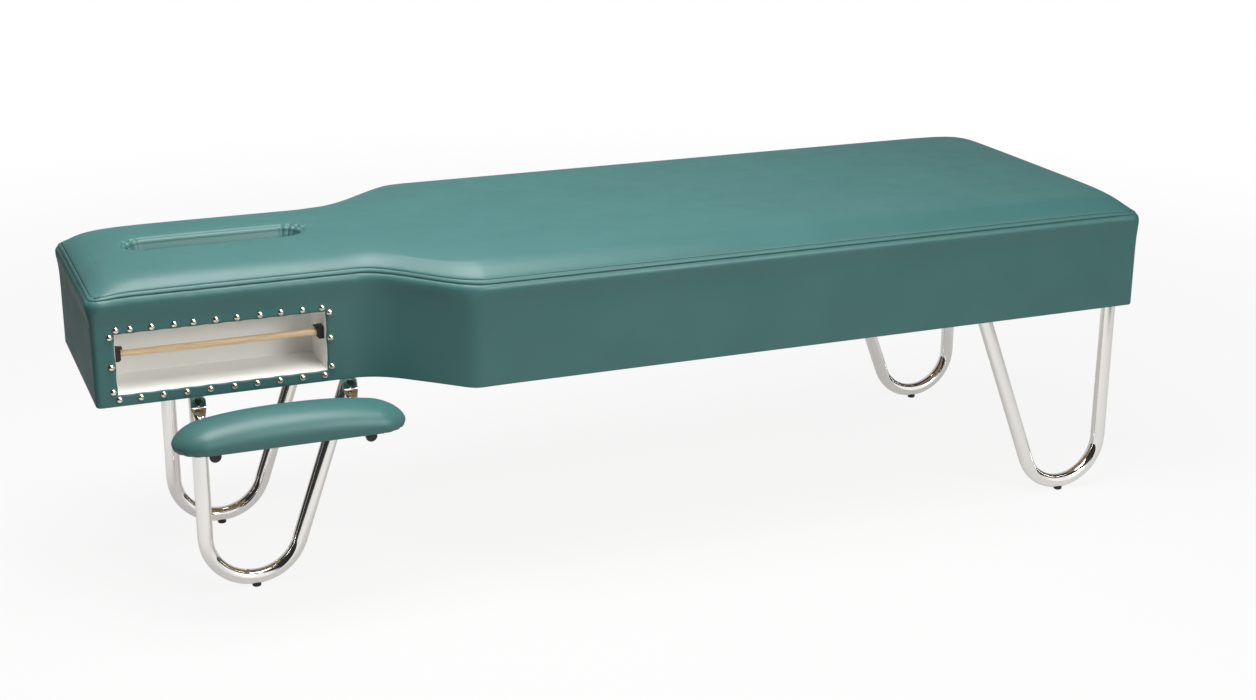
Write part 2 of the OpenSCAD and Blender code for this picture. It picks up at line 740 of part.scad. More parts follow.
// The round part of the tube as a bar of radius r: down, round the elbow and out
module arm_path(r, top, end) {
  translate([0, -arm_r, arm_elbow_z - bend_lap])
    cylinder(r = r, h = top - arm_elbow_z + bend_lap, $fn = fine);
  translate([0, -arm_r - arm_bend_r, arm_elbow_z]) rotate([90, 0, 90]) rotate([0, 0, -90])
    rotate_extrude(angle = 90, $fn = fine)
      translate([arm_bend_r, 0]) circle(r = r + bend_swell, $fn = fine);
  translate([0, bend_lap - arm_r - arm_bend_r, arm_run_z]) rotate([90, 0, 0])
    cylinder(r = r, h = end + bend_lap - arm_r - arm_bend_r, $fn = fine);
}

tab_outline = concat(
  [[-tab_w / 2, tab_low]], [[tab_w / 2, tab_low]],
  arc_points([0, tab_top - tab_w / 2], tab_w / 2, 0, 180, 12)
);
fade_sides = 32;

module arm_tube_shape() difference() {
  union() {
    rotate([90, 0, 0]) linear_extrude(tab_t) polygon(tab_outline);
    hull() {
      translate([-tab_w / 2, -tab_t, tab_low - fit_gap]) cube([tab_w, tab_t, fit_gap]);
      translate([0, -arm_r, round_top - bend_lap])
        cylinder(r = arm_r / cos(180 / fade_sides) + bend_swell, h = bend_lap, $fn = fade_sides);
    }
    arm_path(arm_r, round_top - bend_lap / 2, arm_end);
  }
  arm_path(arm_r - arm_wall, round_top - bend_lap - arm_wall, arm_end + overrun);
  translate([0, overrun, arm_bolt_z]) rotate([90, 0, 0])
    cylinder(d = arm_bolt_d + 2 * hole_gap, h = tab_t + 2 * overrun, $fn = 24);
  for (y = arm_screw_ys) translate([0, -y, arm_run_z - arm_d])
    cylinder(d = arm_screw_d + 2 * hole_gap, h = 2 * arm_d, $fn = 24);
}

module on_arm(i, side) translate([arm_xs[i], side * arm_face_y, 0]) scale([1, -side, 1]) children();

module arm_tube(i, side) color(chrome) on_arm(i, side) arm_tube_shape();

module arm_plug(i, side) color(black) on_arm(i, side)
  translate([0, -arm_end, arm_run_z]) rotate([90, 0, 0]) {
    cylinder(r1 = arm_r, r2 = arm_r - plug_t / 2, h = plug_t, $fn = 48);
    translate([0, 0, -plug_stub]) cylinder(r = arm_r - arm_wall - hole_gap, h = plug_stub, $fn = 48);
  }

// A board with round ends under each arm pad
module pad_outline(inset, z, h) {
  r = pad_width / 2 - inset;
  x = pad_length / 2 - pad_width / 2;
  for (s = [-1, 1]) translate([s * x, 0, z]) cylinder(r = r, h = h, $fn = fine);
  translate([-x, -r, z]) cube([2 * x, 2 * r, h]);
}

module on_pad(side) translate([pad_x, side * pad_offset, 0]) children();

module arm_board(side) color(plywood) difference() {
  on_pad(side) pad_outline(pad_board_inset, pad_base, pad_board_t);
  arm_screw_bores();
}

module arm_screw_bores()
  for (side = [-1, 1], i = [0, 1], y = arm_screw_ys) on_arm(i, side)
    translate([0, -y, arm_run_z - arm_d])
      cylinder(d = arm_screw_d + 2 * hole_gap, h = arm_d + arm_r + arm_screw_bite + hole_gap, $fn = 24);

module arm_screws() color(steel)
  for (side = [-1, 1], i = [0, 1], y = arm_screw_ys) on_arm(i, side)
    translate([0, -y, arm_run_z - arm_r]) {
      cylinder(d = arm_screw_d, h = arm_d + arm_screw_bite, $fn = 24);
      translate([0, 0, -arm_screw_head_h]) cylinder(d = arm_screw_head, h = arm_screw_head_h, $fn = 32);
    }

module arm_bolts() color(steel)
  for (side = [-1, 1], i = [0, 1]) on_arm(i, side)
    translate([0, -tab_t, arm_bolt_z]) rotate([90, 0, 0]) {
      cylinder(d = arm_bolt_head, h = arm_bolt_head_h, $fn = 6);
      translate([0, 0, -tab_t - leg_d - arm_nut_h])
        cylinder(d = arm_bolt_d, h = tab_t + leg_d + arm_nut_h + arm_bolt_head_h / 2, $fn = 24);
    }

module arm_nuts() color(steel)
  for (side = [-1, 1], i = [0, 1]) on_arm(i, side)
    translate([0, leg_d, arm_bolt_z]) rotate([-90, 0, 0]) difference() {
      cylinder(d = arm_bolt_head, h = arm_nut_h, $fn = 6);
      translate([0, 0, -overrun])
        cylinder(d = arm_bolt_d + hole_gap, h = arm_nut_h + 2 * overrun, $fn = 24);
    }

// Rings of an arm pad: [inset as a share of the half width, height as a share]
pad_ring_shares = [
  [0.16, 0], [0.05, 0.04], [0, 0.16], [0, 0.34], [0.05, 0.54],
  [0.16, 0.72], [0.33, 0.86], [0.56, 0.95], [0.8, 0.99]
];
pad_arc_n = 9;
pad_run_n = 8;
// The pad is arched: at its very ends it is lower by pad_arch
pad_arch = 0.45;
pad_arch_bend = 2.4;
pad_round = pad_width / 2;
pad_run = pad_length / 2 - pad_round;
function pad_top(x, share) =
  pad_base + pad_height * share * (1 - pad_arch * pow(abs(x) / (pad_run + pad_round), pad_arch_bend));
function pad_ring(row) = let (r = pad_round * (1 - row[0])) [for (p = concat(
    arc_points([pad_run, 0], r, -90, 90, pad_arc_n),
    [for (x = between(pad_run, -pad_run, pad_run_n)) if (x > -pad_run) [x, r]],
    arc_points([-pad_run, 0], r, 90, 270, pad_arc_n),
    [for (x = between(-pad_run, pad_run, pad_run_n)) if (x < pad_run) [x, -r]]
  )) [p[0], p[1], pad_top(p[0], row[1])]];
pad_n = 2 * (pad_arc_n + pad_run_n);
// The ridge has a point at each station of the straight run
ridge_xs = [for (i = [0:pad_run_n]) pad_run * (1 - 2 * i / pad_run_n)];

module pad_form() {
  rings = len(pad_ring_shares);
  last = rings - 1;
  crest = rings * pad_n;
  polyhedron(
    concat(
      [for (row = pad_ring_shares) each pad_ring(row)],
      [for (x = ridge_xs) [x, 0, pad_top(x, 1)]],
      [for (x = ridge_xs) [x, 0, pad_base]]
    ),
    concat(
      [for (k = [0:rings - 2]) each strip(k * pad_n, (k + 1) * pad_n, pad_n)],
      pad_cap(last * pad_n, crest, false),
      pad_cap(0, crest + len(ridge_xs), true)
    ),
    convexity = 4
  );
}

// Closes a pad ring on a ridge: p is the ridge's first index
function pad_station(i) = i <= pad_arc_n ? 0
  : i < pad_arc_n + pad_run_n ? i - pad_arc_n
  : i <= 2 * pad_arc_n + pad_run_n ? pad_run_n
  : pad_n - i;
function pad_cap(a, p, under) = [for (i = [0:pad_n - 1]) let (
    j = (i + 1) % pad_n,
    m = p + pad_station(i),
    n = p + pad_station(j)
  ) each (m == n ? [under ? [a + i, a + j, m] : [a + i, m, a + j]]
    : under ? [[a + i, a + j, m], [a + j, n, m]] : [[a + i, m, a + j], [a + j, m, n]])];

module arm_pad(side) color(vinyl) difference() {
  on_pad(side) pad_form();
  on_pad(side) pad_outline(pad_board_inset - fit_gap, pad_base - overrun, pad_board_t + overrun + fit_gap);
}

bottom_board();
deck_board();
side_rail(-1);  // side_rail_near
side_rail(1);  // side_rail_far
shoulder_rail(-1);  // shoulder_rail_near
shoulder_rail(1);  // shoulder_rail_far
head_rail_near();
head_rail_far();
end_rail(-1);  // head_end_rail
end_rail(1);  // foot_end_rail
bay_post();
cross_brace(slot_box_x0 - rail_t, bay_back_y + panel_t, half_head - rail_in);  // slot_brace_head
cross_brace(slot_box_x1, bay_back_y + panel_t, half_head - rail_in);  // slot_brace_foot
body_brace(brace_gap_share);  // brace_mid
body_brace(brace_foot_share);  // brace_foot
slot_collar();
bay_floor();
bay_back();
bay_ceiling();
bay_end(bay_x0 - panel_t);  // bay_end_head
bay_end(bay_x1);  // bay_end_foot
rod_socket(bay_x0, 1);  // rod_socket_head
rod_socket(bay_x1, -1);  // rod_socket_foot
socket_screws();
paper_rod();
bay_nails();
foam_core();
top_cushion();
side_band();
face_slot_lining();
leg(leg_spots[0]);  // leg_head_near
leg(leg_spots[1]);  // leg_head_far
leg(leg_spots[2]);  // leg_foot_near
leg(leg_spots[3]);  // leg_foot_far
plate(leg_spots[0]);  // plate_head_near
plate(leg_spots[1]);  // plate_head_far
plate(leg_spots[2]);  // plate_foot_near
plate(leg_spots[3]);  // plate_foot_far
plate_screws();
glide(leg_spots[0]);  // glide_head_near
glide(leg_spots[1]);  // glide_head_far
glide(leg_spots[2]);  // glide_foot_near
glide(leg_spots[3]);  // glide_foot_far
arm_tube(0, -1);  // arm_tube_near_head
arm_tube(1, -1);  // arm_tube_near_foot
arm_tube(0, 1);  // arm_tube_far_head
arm_tube(1, 1);  // arm_tube_far_foot
arm_plug(0, -1);  // arm_plug_near_head
arm_plug(1, -1);  // arm_plug_near_foot
arm_plug(0, 1);  // arm_plug_far_head
arm_plug(1, 1);  // arm_plug_far_foot
arm_board(-1);  // arm_board_near
arm_board(1);  // arm_board_far
arm_pad(-1);  // arm_pad_near
arm_pad(1);  // arm_pad_far
arm_bolts();
arm_nuts();
arm_screws();
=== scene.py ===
"""Treatment bench: vinyl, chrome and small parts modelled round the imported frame.

X runs from the head end (-X) to the foot end, -Y is the side with the paper bay, Z is up, in metres.
"""
import math

import bmesh
import bpy
import numpy as np
from mathutils import Matrix, Vector


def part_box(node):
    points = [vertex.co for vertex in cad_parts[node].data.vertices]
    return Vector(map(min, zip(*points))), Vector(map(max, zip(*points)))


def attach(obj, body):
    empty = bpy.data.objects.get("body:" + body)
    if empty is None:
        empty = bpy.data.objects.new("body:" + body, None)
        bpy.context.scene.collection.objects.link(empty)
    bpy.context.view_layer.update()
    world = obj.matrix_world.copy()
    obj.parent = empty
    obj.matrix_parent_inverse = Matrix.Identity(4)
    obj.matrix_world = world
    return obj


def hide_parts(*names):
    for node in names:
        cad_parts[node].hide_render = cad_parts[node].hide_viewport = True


bl_info = {
    "name": "Treatment bench",
    "version": (1, 0, 0),
    "blender": (4, 5, 0),
    "location": "3D View > Sidebar > Bench",
    "description": "Models the upholstery, tubes and fittings of a padded treatment bench on its CAD frame",
    "category": "Add Mesh",
}

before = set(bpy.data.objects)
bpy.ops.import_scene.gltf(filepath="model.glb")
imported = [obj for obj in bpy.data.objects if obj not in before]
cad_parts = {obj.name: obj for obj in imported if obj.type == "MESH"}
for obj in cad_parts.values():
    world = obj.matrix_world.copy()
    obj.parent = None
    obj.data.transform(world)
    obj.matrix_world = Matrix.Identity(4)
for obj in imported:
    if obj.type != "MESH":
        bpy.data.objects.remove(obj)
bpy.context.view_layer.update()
MM = 0.001

BAND_LOW, BAND_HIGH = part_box("side_band")
LINING_LOW, LINING_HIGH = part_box("face_slot_lining")
BAY_LOW = Vector((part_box("bay_end_head")[1].x, 0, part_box("bay_floor")[1].z))
BAY_HIGH = Vector((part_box("bay_end_foot")[0].x, 0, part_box("bay_ceiling")[0].z))


def linear(hex_colour):
    """An sRGB hex colour as linear red, green and blue."""
    parts = [int(hex_colour[i:i + 2], 16) / 255 for i in (1, 3, 5)]
    return tuple(p / 12.92 if p <= 0.04045 else ((p + 0.055) / 1.055) ** 2.4 for p in parts)


def size(name, description, default, unit="LENGTH", low=0.0):
    """A size that a user may change, in metres unless unit says otherwise."""
    return bpy.props.FloatProperty(
        name=name, description=description, default=default, unit=unit, min=low, precision=4)


def colour(name, description, default):
    """A colour that a user may change, given as sRGB hex."""
    return bpy.props.FloatVectorProperty(
        name=name, description=description, default=linear(default), subtype="COLOR", size=3, min=0, max=1)


class UpholsterySettings(bpy.types.PropertyGroup):
    """Sizes and colour of the vinyl cover."""
    seam_z: size("Seam height", "Height of the seam round the top above the floor", 0.531)
    crown: size("Crown", "Rise of the padded top above its seam", 0.035)
    crown_reach: size("Crown reach", "Distance from an edge in which the top makes most of its rise", 0.025)
    head_width: size("Head width", "Width of the narrow head section", 0.367)
    shoulder_start: size("Shoulder start", "Where the shoulder leaves the head section", -0.470, low=-1.0)
    shoulder_end: size("Shoulder end", "Where the shoulder meets the wide part", -0.340, low=-1.0)
    cover: size("Cover", "Thickness of the vinyl", 0.0015)
    swell: size("Side swell", "How far the foam swells the sides below the seam", 0.0038)
    band: size("Seam band", "Width of the raised band between the seam and its row of stitches", 0.0078)
    stitch_pitch: size("Stitch pitch", "Distance from stitch to stitch", 0.0046)
    stitch_length: size("Stitch length", "Length of thread that shows in each stitch", 0.0031)
    thread: size("Thread", "Thickness of the sewing thread", 0.0009)
    gather: size("Gathers", "Depth of the gathers at the ends of the face slot", 0.0019)
    vinyl: colour("Vinyl", "Colour of the vinyl", "#396260")
    thread_colour: colour("Thread colour", "Colour of the sewing thread", "#1B3937")


class MetalSettings(bpy.types.PropertyGroup):
    """Sizes and colours of tubes, nails and fittings."""
    leg_d: size("Leg tube", "Outer diameter of the leg tube", 0.0254)
    bend_r: size("Leg bend", "Radius of the leg's bend on the tube's axis", 0.0795)
    arm_d: size("Arm tube", "Outer diameter of the armrest tube", 0.019)
    arm_bend_r: size("Arm bend", "Radius of the armrest tube's elbow on its axis", 0.020)
    tab_t: size("Tab thickness", "Thickness of the armrest tube's flattened end", 0.003)
    tab_flat: size("Tab length", "Length of the flattened end", 0.020)
    tab_fade: size("Tab change", "Length of the change from flat to round", 0.015)
    dent: size("Tab dent", "Depth of the pressed dent where the flattened end turns round", 0.0028)
    nail_d: size("Nail head", "Diameter of a domed nail head", 0.0106)
    nail_dome: size("Nail dome", "Height of a domed nail head", 0.0048)
    chrome: colour("Chrome", "Colour of the chrome plate", "#EEECE9")
    nickel: colour("Nickel", "Colour of the nails' nickel plate", "#EAE3D3")
    zinc: colour("Zinc", "Colour of zinc plated steel", "#A9ACAE")


class BoxSettings(bpy.types.PropertyGroup):
    """Colours of wood, laminate and plastic."""
    laminate: colour("Laminate", "White face of the bay's lining boards", "#FBF9F3")
    plywood: colour("Plywood", "Face of the birch plywood", "#D9BD8F")
    dowel: colour("Dowel", "Sanded wood of the paper rod", "#E4C9A6")
    plastic: colour("Plastic", "Black moulded plastic", "#1D1815")


class StageSettings(bpy.types.PropertyGroup):
    """Floor, lamps and camera."""
    floor: colour("Floor", "Colour of the floor", "#BEBEBC")
    sky: size("Fill light", "Strength of the even light", 0.17, unit="NONE")
    key: size("Overhead light", "Power of the overhead lamp", 79.0, unit="POWER")
    front: size("Front light", "Power of the lamp in front", 74.0, unit="POWER")
    lens: size("Lens", "Focal length of the camera", 57.95, unit="CAMERA", low=1.0)


def settings():
    """Upholstery, metal, box and stage settings."""
    scene = bpy.context.scene
    return scene.bench_upholstery, scene.bench_metal, scene.bench_box, scene.bench_stage


# Materials. Every pattern reads Object coordinates, which are metres here.

def add(tree, kind, inputs=None, **values):
    """Adds a node. Inputs are by name or number and take another node's output or a plain value; values are
    the node's settings, or inputs whose name is one word."""
    node = tree.nodes.new(kind)
    for key, value in values.items():
        if hasattr(node, key):
            setattr(node, key, value)
        else:
            node.inputs[key].default_value = value
    for key, value in (inputs or {}).items():
        if isinstance(value, bpy.types.NodeSocket):
            tree.links.new(value, node.inputs[key])
        else:
            node.inputs[key].default_value = value
    return node


def new_material(name, base, roughness, metallic=0.0, **sockets):
    """An empty material with its Principled shader set: returns (material, tree, shader, coordinates)."""
    material = bpy.data.materials.new(name)
    material.use_nodes = True
    tree = material.node_tree
    shader = next(n for n in tree.nodes if n.type == "BSDF_PRINCIPLED")
    shader.inputs["Base Color"].default_value = (*base, 1)
    shader.inputs["Roughness"].default_value = roughness
    shader.inputs["Metallic"].default_value = metallic
    for key, value in sockets.items():
        shader.inputs[key.replace("_", " ")].default_value = value
    place = add(tree, "ShaderNodeTexCoord").outputs["Object"]
    return material, tree, shader, place


def tint(tree, place, shader, base, scale, share):
    """Slight change of colour over the piece, with scale in turns per metre: share is how far it goes."""
    noise = add(tree, "ShaderNodeTexNoise", {"Vector": place}, Scale=scale, Detail=2.0)
    shade(tree, noise, shader, (0.32, 0.68), [c * (1 - share) for c in base], [c * (1 + share) for c in base])


def shade(tree, pattern, shader, span, low, high):
    """Colour that runs from low to high while the pattern runs over span."""
    ramp = add(tree, "ShaderNodeValToRGB", {"Fac": pattern.outputs["Fac"]})
    for stop, position, rgb in zip(ramp.color_ramp.elements, span, (low, high)):
        stop.position = position
        stop.color = (*[min(1.0, c) for c in rgb], 1)
    tree.links.new(ramp.outputs["Color"], shader.inputs["Base Color"])


def gloss(tree, place, shader, scale, low, high):
    """Roughness that drifts between low and high."""
    noise = add(tree, "ShaderNodeTexNoise", {"Vector": place}, Scale=scale, Detail=3.0)
    drift = add(tree, "ShaderNodeMapRange", {
        "Value": noise.outputs["Fac"], "From Min": 0.3, "From Max": 0.7, "To Min": low, "To Max": high})
    tree.links.new(drift.outputs["Result"], shader.inputs["Roughness"])


def relief(tree, shader, height, depth, strength=1.0, under=None):
    """Bump: height is an output from 0 to 1, depth is in real metres, and under is a coarser relief."""
    bump = add(tree, "ShaderNodeBump", {"Height": height}, Strength=strength, Distance=depth)
    if under:
        tree.links.new(under.outputs["Normal"], bump.inputs["Normal"])
    tree.links.new(bump.outputs["Normal"], shader.inputs["Normal"])
    return bump


def upholstery_vinyl(base):
    """PVC upholstery vinyl, embossed: satin, so crests shine softly and flats stay even. Its grain breaks up
    reflections at low angles, so a surface seen along its length keeps its colour. The real grain is about
    0.8 mm; it is drawn 1.5 mm wide so that it shows."""
    material, tree, shader, place = new_material(
        "upholstery_vinyl", base, 0.42, IOR=1.5, Specular_IOR_Level=0.3)
    tint(tree, place, shader, base, 9, 0.03)
    gloss(tree, place, shader, 25, 0.39, 0.45)
    facing = add(tree, "ShaderNodeLayerWeight", Blend=0.5).outputs["Facing"]
    dull = add(tree, "ShaderNodeMapRange", {
        "Value": facing, "From Min": 0.35, "From Max": 0.80, "To Min": 0.42, "To Max": 0.03},
        interpolation_type="SMOOTHSTEP")
    tree.links.new(dull.outputs["Result"], shader.inputs["Specular IOR Level"])
    slack = add(tree, "ShaderNodeTexNoise", {"Vector": place}, Scale=9, Detail=1.0)
    waves = relief(tree, shader, slack.outputs["Fac"], 0.4 * MM, 0.3)
    grain = add(tree, "ShaderNodeTexVoronoi", {"Vector": place}, Scale=1 / (1.5 * MM))
    relief(tree, shader, grain.outputs["Distance"], 0.10 * MM, 0.55, waves)
    return material


def sewing_thread(base):
    """Bonded nylon thread: a dull twist with fine ridges every 0.6 mm."""
    material, tree, shader, place = new_material("sewing_thread", base, 0.85, Specular_IOR_Level=0.15)
    tint(tree, place, shader, base, 60, 0.12)
    twist = add(tree, "ShaderNodeTexWave", {"Vector": place}, Scale=1 / (1.2 * MM), Distortion=1.0)
    relief(tree, shader, twist.outputs["Fac"], 0.08 * MM)
    return material


def chrome_plate(base):
    """Bright chrome on polished tube: mirror-like, with faint haze and fine polishing marks."""
    material, tree, shader, place = new_material("chrome_plate", base, 0.07, 1.0)
    gloss(tree, place, shader, 40, 0.045, 0.095)
    marks = add(tree, "ShaderNodeTexNoise", {"Vector": place}, Scale=35, Detail=2.0)
    relief(tree, shader, marks.outputs["Fac"], 0.05 * MM, 0.1)
    return material


def nickel_plate(base):
    """Polished nickel on a pressed nail head: warm mirror with light tarnish."""
    material, tree, shader, place = new_material("nickel_plate", base, 0.12, 1.0)
    tint(tree, place, shader, base, 120, 0.08)
    gloss(tree, place, shader, 200, 0.08, 0.18)
    return material


def zinc_plate(base):
    """Zinc plated steel: grey and satin, mottled by its crystals of about 4 mm."""
    material, tree, shader, place = new_material("zinc_plate", base, 0.38, 1.0)
    crystals = add(tree, "ShaderNodeTexVoronoi", {"Vector": place}, Scale=1 / (4 * MM))
    mottle = add(tree, "ShaderNodeMapRange", {
        "Value": crystals.outputs["Color"], "To Min": 0.30, "To Max": 0.46})
    tree.links.new(mottle.outputs["Result"], shader.inputs["Roughness"])
    tint(tree, place, shader, base, 90, 0.08)
    return material


def black_oxide(base):
    """Black oxide on a steel bolt: oily, dark and satin."""
    material, tree, shader, place = new_material("black_oxide", base, 0.35, 1.0)
    gloss(tree, place, shader, 150, 0.28, 0.45)
    tint(tree, place, shader, base, 200, 0.15)
    return material


def moulded_plastic(base):
    """Black injection moulded plastic with a fine spark-eroded grain, drawn 0.7 mm wide."""
    material, tree, shader, place = new_material("moulded_plastic", base, 0.48)
    grain = add(tree, "ShaderNodeTexNoise", {"Vector": place}, Scale=1 / (0.7 * MM), Detail=2.0)
    relief(tree, shader, grain.outputs["Fac"], 0.05 * MM)
    tint(tree, place, shader, base, 80, 0.10)
    return material


def white_laminate(base):
    """Hardboard with a painted white face: smooth and even, with slight roller texture every 2 mm."""
    material, tree, shader, place = new_material("white_laminate", base, 0.42)
    roller = add(tree, "ShaderNodeTexNoise", {"Vector": place}, Scale=1 / (2 * MM), Detail=3.0)
    relief(tree, shader, roller.outputs["Fac"], 0.05 * MM)
    tint(tree, place, shader, base, 6, 0.025)
    return material


def grained_wood(name, base, ring, along, roughness):
    """Wood with its grain along X: ring is the width of a grain line and along its length, in metres."""
    material, tree, shader, place = new_material(name, base, roughness)
    stretch = add(tree, "ShaderNodeMapping", {"Vector": place, "Scale": (1 / along, 1 / ring, 1 / ring)})
    lines = add(tree, "ShaderNodeTexNoise", {"Vector": stretch.outputs["Vector"]}, Scale=1.0, Detail=4.0)
    dark = [c * part for c, part in zip(base, (0.80, 0.74, 0.66))]
    shade(tree, lines, shader, (0.30, 0.72), dark, [c * 1.06 for c in base])
    relief(tree, shader, lines.outputs["Fac"], 0.08 * MM, 0.6)
    return material


def open_foam(base):
    """Open cell polyurethane foam, with cells of 2 mm."""
    material, tree, shader, place = new_material("open_foam", base, 0.9)
    cells = add(tree, "ShaderNodeTexVoronoi", {"Vector": place}, Scale=1 / (2 * MM))
    relief(tree, shader, cells.outputs["Distance"], 0.6 * MM)
    return material


def finish(name):
    """The material of that name, made once."""
    found = bpy.data.materials.get(name)
    if found:
        return found
    cloth, metal, box, _ = settings()
    made = {
        "upholstery_vinyl": lambda: upholstery_vinyl(cloth.vinyl),
        "sewing_thread": lambda: sewing_thread(cloth.thread_colour),
        "chrome_plate": lambda: chrome_plate(metal.chrome),
        "nickel_plate": lambda: nickel_plate(metal.nickel),
        "zinc_plate": lambda: zinc_plate(metal.zinc),
        "black_oxide": lambda: black_oxide(linear("#45423E")),
        "moulded_plastic": lambda: moulded_plastic(box.plastic),
        "white_laminate": lambda: white_laminate(box.laminate),
        "birch_plywood": lambda: grained_wood(name, box.plywood, 9 * MM, 120 * MM, 0.6),
        "birch_dowel": lambda: grained_wood(name, box.dowel, 1.6 * MM, 60 * MM, 0.55),
        "open_foam": lambda: open_foam(linear("#E9DDB4")),
    }
    return made[name]()


# Modelling helpers

def rest():
    """Object mode with nothing selected."""
    if bpy.context.mode != "OBJECT":
        bpy.ops.object.mode_set(mode="OBJECT")
    bpy.ops.object.select_all(action="DESELECT")


def settle(piece, name, material, body, replaces=()):
    """Names a finished piece, gives it its material and fixes it to its body."""
    rest()
    piece.name = piece.data.name = name
    piece.data.materials.clear()
    piece.data.materials.append(finish(material))
    piece.select_set(True)
    bpy.context.view_layer.objects.active = piece
    bpy.ops.object.transform_apply(location=True, rotation=True, scale=True)
    piece.select_set(False)
    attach(piece, body)
    if replaces:
        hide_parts(*replaces)
    return piece


def columns(*parts):
    """Points from their coordinates: each is an array, or one number for all points."""
    return np.stack(np.broadcast_arrays(*parts), 1)


def raised(plan, z):
    """Points in plan at height z."""
    return columns(*plan.T, z)


def round_angles(count):
    """That many angles once round a circle."""
    return np.linspace(0, 2 * math.pi, count + 1)[:-1]


def skin(rings, closed=True, threshold=1e-6):
    """A grid laid out as rows of points, in metres, and sewn up. Each row closes on itself, and the last row
    closes on the first if closed is true."""
    rest()
    rings = np.array(rings)
    rings = np.concatenate([rings, rings[:, :1]], axis=1)
    if closed:
        rings = np.concatenate([rings, rings[:1]], axis=0)
    rows, cols = rings.shape[:2]
    bpy.ops.mesh.primitive_grid_add(x_subdivisions=cols - 1, y_subdivisions=rows - 1, size=1)
    piece = bpy.context.active_object
    if len(piece.data.vertices) != rows * cols:
        raise RuntimeError(f"the grid has {len(piece.data.vertices)} points, not {rows * cols}")
    piece.data.vertices.foreach_set("co", rings.astype(np.float32).ravel())
    bpy.ops.object.mode_set(mode="EDIT")
    bpy.ops.mesh.select_all(action="SELECT")
    bpy.ops.mesh.remove_doubles(threshold=threshold)
    bpy.ops.mesh.dissolve_degenerate(threshold=threshold)
    bpy.ops.mesh.select_all(action="SELECT")
    bpy.ops.mesh.normals_make_consistent(inside=False)
    bpy.ops.object.mode_set(mode="OBJECT")
    bpy.ops.object.shade_smooth()
    return piece


def pick_faces(test):
    """In edit mode: selects the faces whose centre passes the test."""
    bpy.ops.mesh.select_mode(type="FACE")
    bpy.ops.mesh.select_all(action="DESELECT")
    mesh = bmesh.from_edit_mesh(bpy.context.active_object.data)
    for face in mesh.faces:
        if test(face.calc_center_median()):
            face.select_set(True)
    mesh.select_flush(True)
    bmesh.update_edit_mesh(bpy.context.active_object.data)


def copies(source, places):
    """One mesh with a copy of source at each matrix, in place of source."""
    mesh = source.data
    points = np.zeros(len(mesh.vertices) * 3, np.float32)
    mesh.vertices.foreach_get("co", points)
    points = points.reshape(-1, 3)
    faces = [tuple(p.vertices) for p in mesh.polygons]
    moved = [points @ np.array(m)[:3, :3].T + np.array(m)[:3, 3] for m in places]
    made = bpy.data.meshes.new(mesh.name)
    made.from_pydata(
        np.concatenate(moved).tolist(), [],
        [tuple(v + len(points) * i for v in f) for i in range(len(places)) for f in faces])
    made.update()
    made.shade_smooth()
    source.data = made
    return source


def spline(points, at):
    """Values at distances along a smooth line through points [distance, a, b, ...]."""
    points = np.asarray(points, float)
    x, y = points[:, 0], points[:, 1:]
    step = np.diff(x)[:, None]
    slope = np.diff(y, axis=0) / step
    product, total = slope[:-1] * slope[1:], slope[:-1] + slope[1:]
    mid = np.where(product > 0, 2 * product / np.where(total == 0, 1, total), 0)
    tangent = np.concatenate([slope[:1], mid, slope[-1:]])
    at = np.clip(np.asarray(at, float), x[0], x[-1])
    i = np.clip(np.searchsorted(x, at, side="right") - 1, 0, len(x) - 2)
    t = ((at - x[i]) / step[i, 0])[:, None]
    h = step[i]
    return ((2 * t ** 3 - 3 * t ** 2 + 1) * y[i] + (t ** 3 - 2 * t ** 2 + t) * h * tangent[i]
            + (3 * t ** 2 - 2 * t ** 3) * y[i + 1] + (t ** 3 - t ** 2) * h * tangent[i + 1])


def ease(t):
    """0 below 0, 1 above 1, and a soft S between."""
    t = np.clip(t, 0, 1)
    return t * t * (3 - 2 * t)


def bell(distance, width):
    """1 at no distance, falling off softly over width."""
    return np.exp(-(distance / width) ** 2)


# The bench's outline. It is drawn once round: near side from head to foot, foot end, far side, head end.

CORNER_STEPS, HEAD_END_STEPS, FOOT_END_STEPS = 7, 51, 83
S_SHARE, CROWN_S_SHARE, SEAM_S_SHARE = 0.2, 0.45, 0.3
HEAD_TURN, BODY_TURN = 40 * MM, 13 * MM
SHOULDER_FULLNESS, FULLNESS_REACH = 1.4 * MM, 38 * MM
SKIRT_CORNER, SEAM_CORNER = 9 * MM, 18 * MM
# Millimetres: the seam's rise round the head section, its fall to the wide part and its fall at the head end
SEAM_RISE, BODY_FALL, END_FALL = 1, 5.5, 2.5
END_FALL_X, END_FALL_REACH = -0.85, 0.06


def turned(t, reach):
    """0 before 0 and t after it, with the turn eased over reach on both sides."""
    return np.where(t < -reach, 0, np.where(t > reach, t, (t + reach) ** 2 / (4 * reach)))


def s_curve(t, early):
    """An S from 0 to 1 that starts and ends early, a share of the shoulder, outside it."""
    return ease((t + early) / (1 + 2 * early))


def shoulder_share(x):
    """0 where the shoulder leaves the head section and 1 where it meets the wide part."""
    cloth = settings()[0]
    return (x - cloth.shoulder_start) / (cloth.shoulder_end - cloth.shoulder_start)


def half_width(x, flow):
    """Half the bench's width at x: the box's soft turns at the shoulders at flow 0, an S curve at flow 1."""
    cloth = settings()[0]
    head, body = cloth.head_width / 2, BAND_HIGH.y
    length = cloth.shoulder_end - cloth.shoulder_start
    t = shoulder_share(x)
    box = turned(t, HEAD_TURN / length) - turned(t - 1, BODY_TURN / length)
    full = SHOULDER_FULLNESS * bell(x - cloth.shoulder_end, FULLNESS_REACH)
    return head + (body - head) * (box * (1 - flow) + s_curve(t, S_SHARE) * flow) + full * (1 - flow)


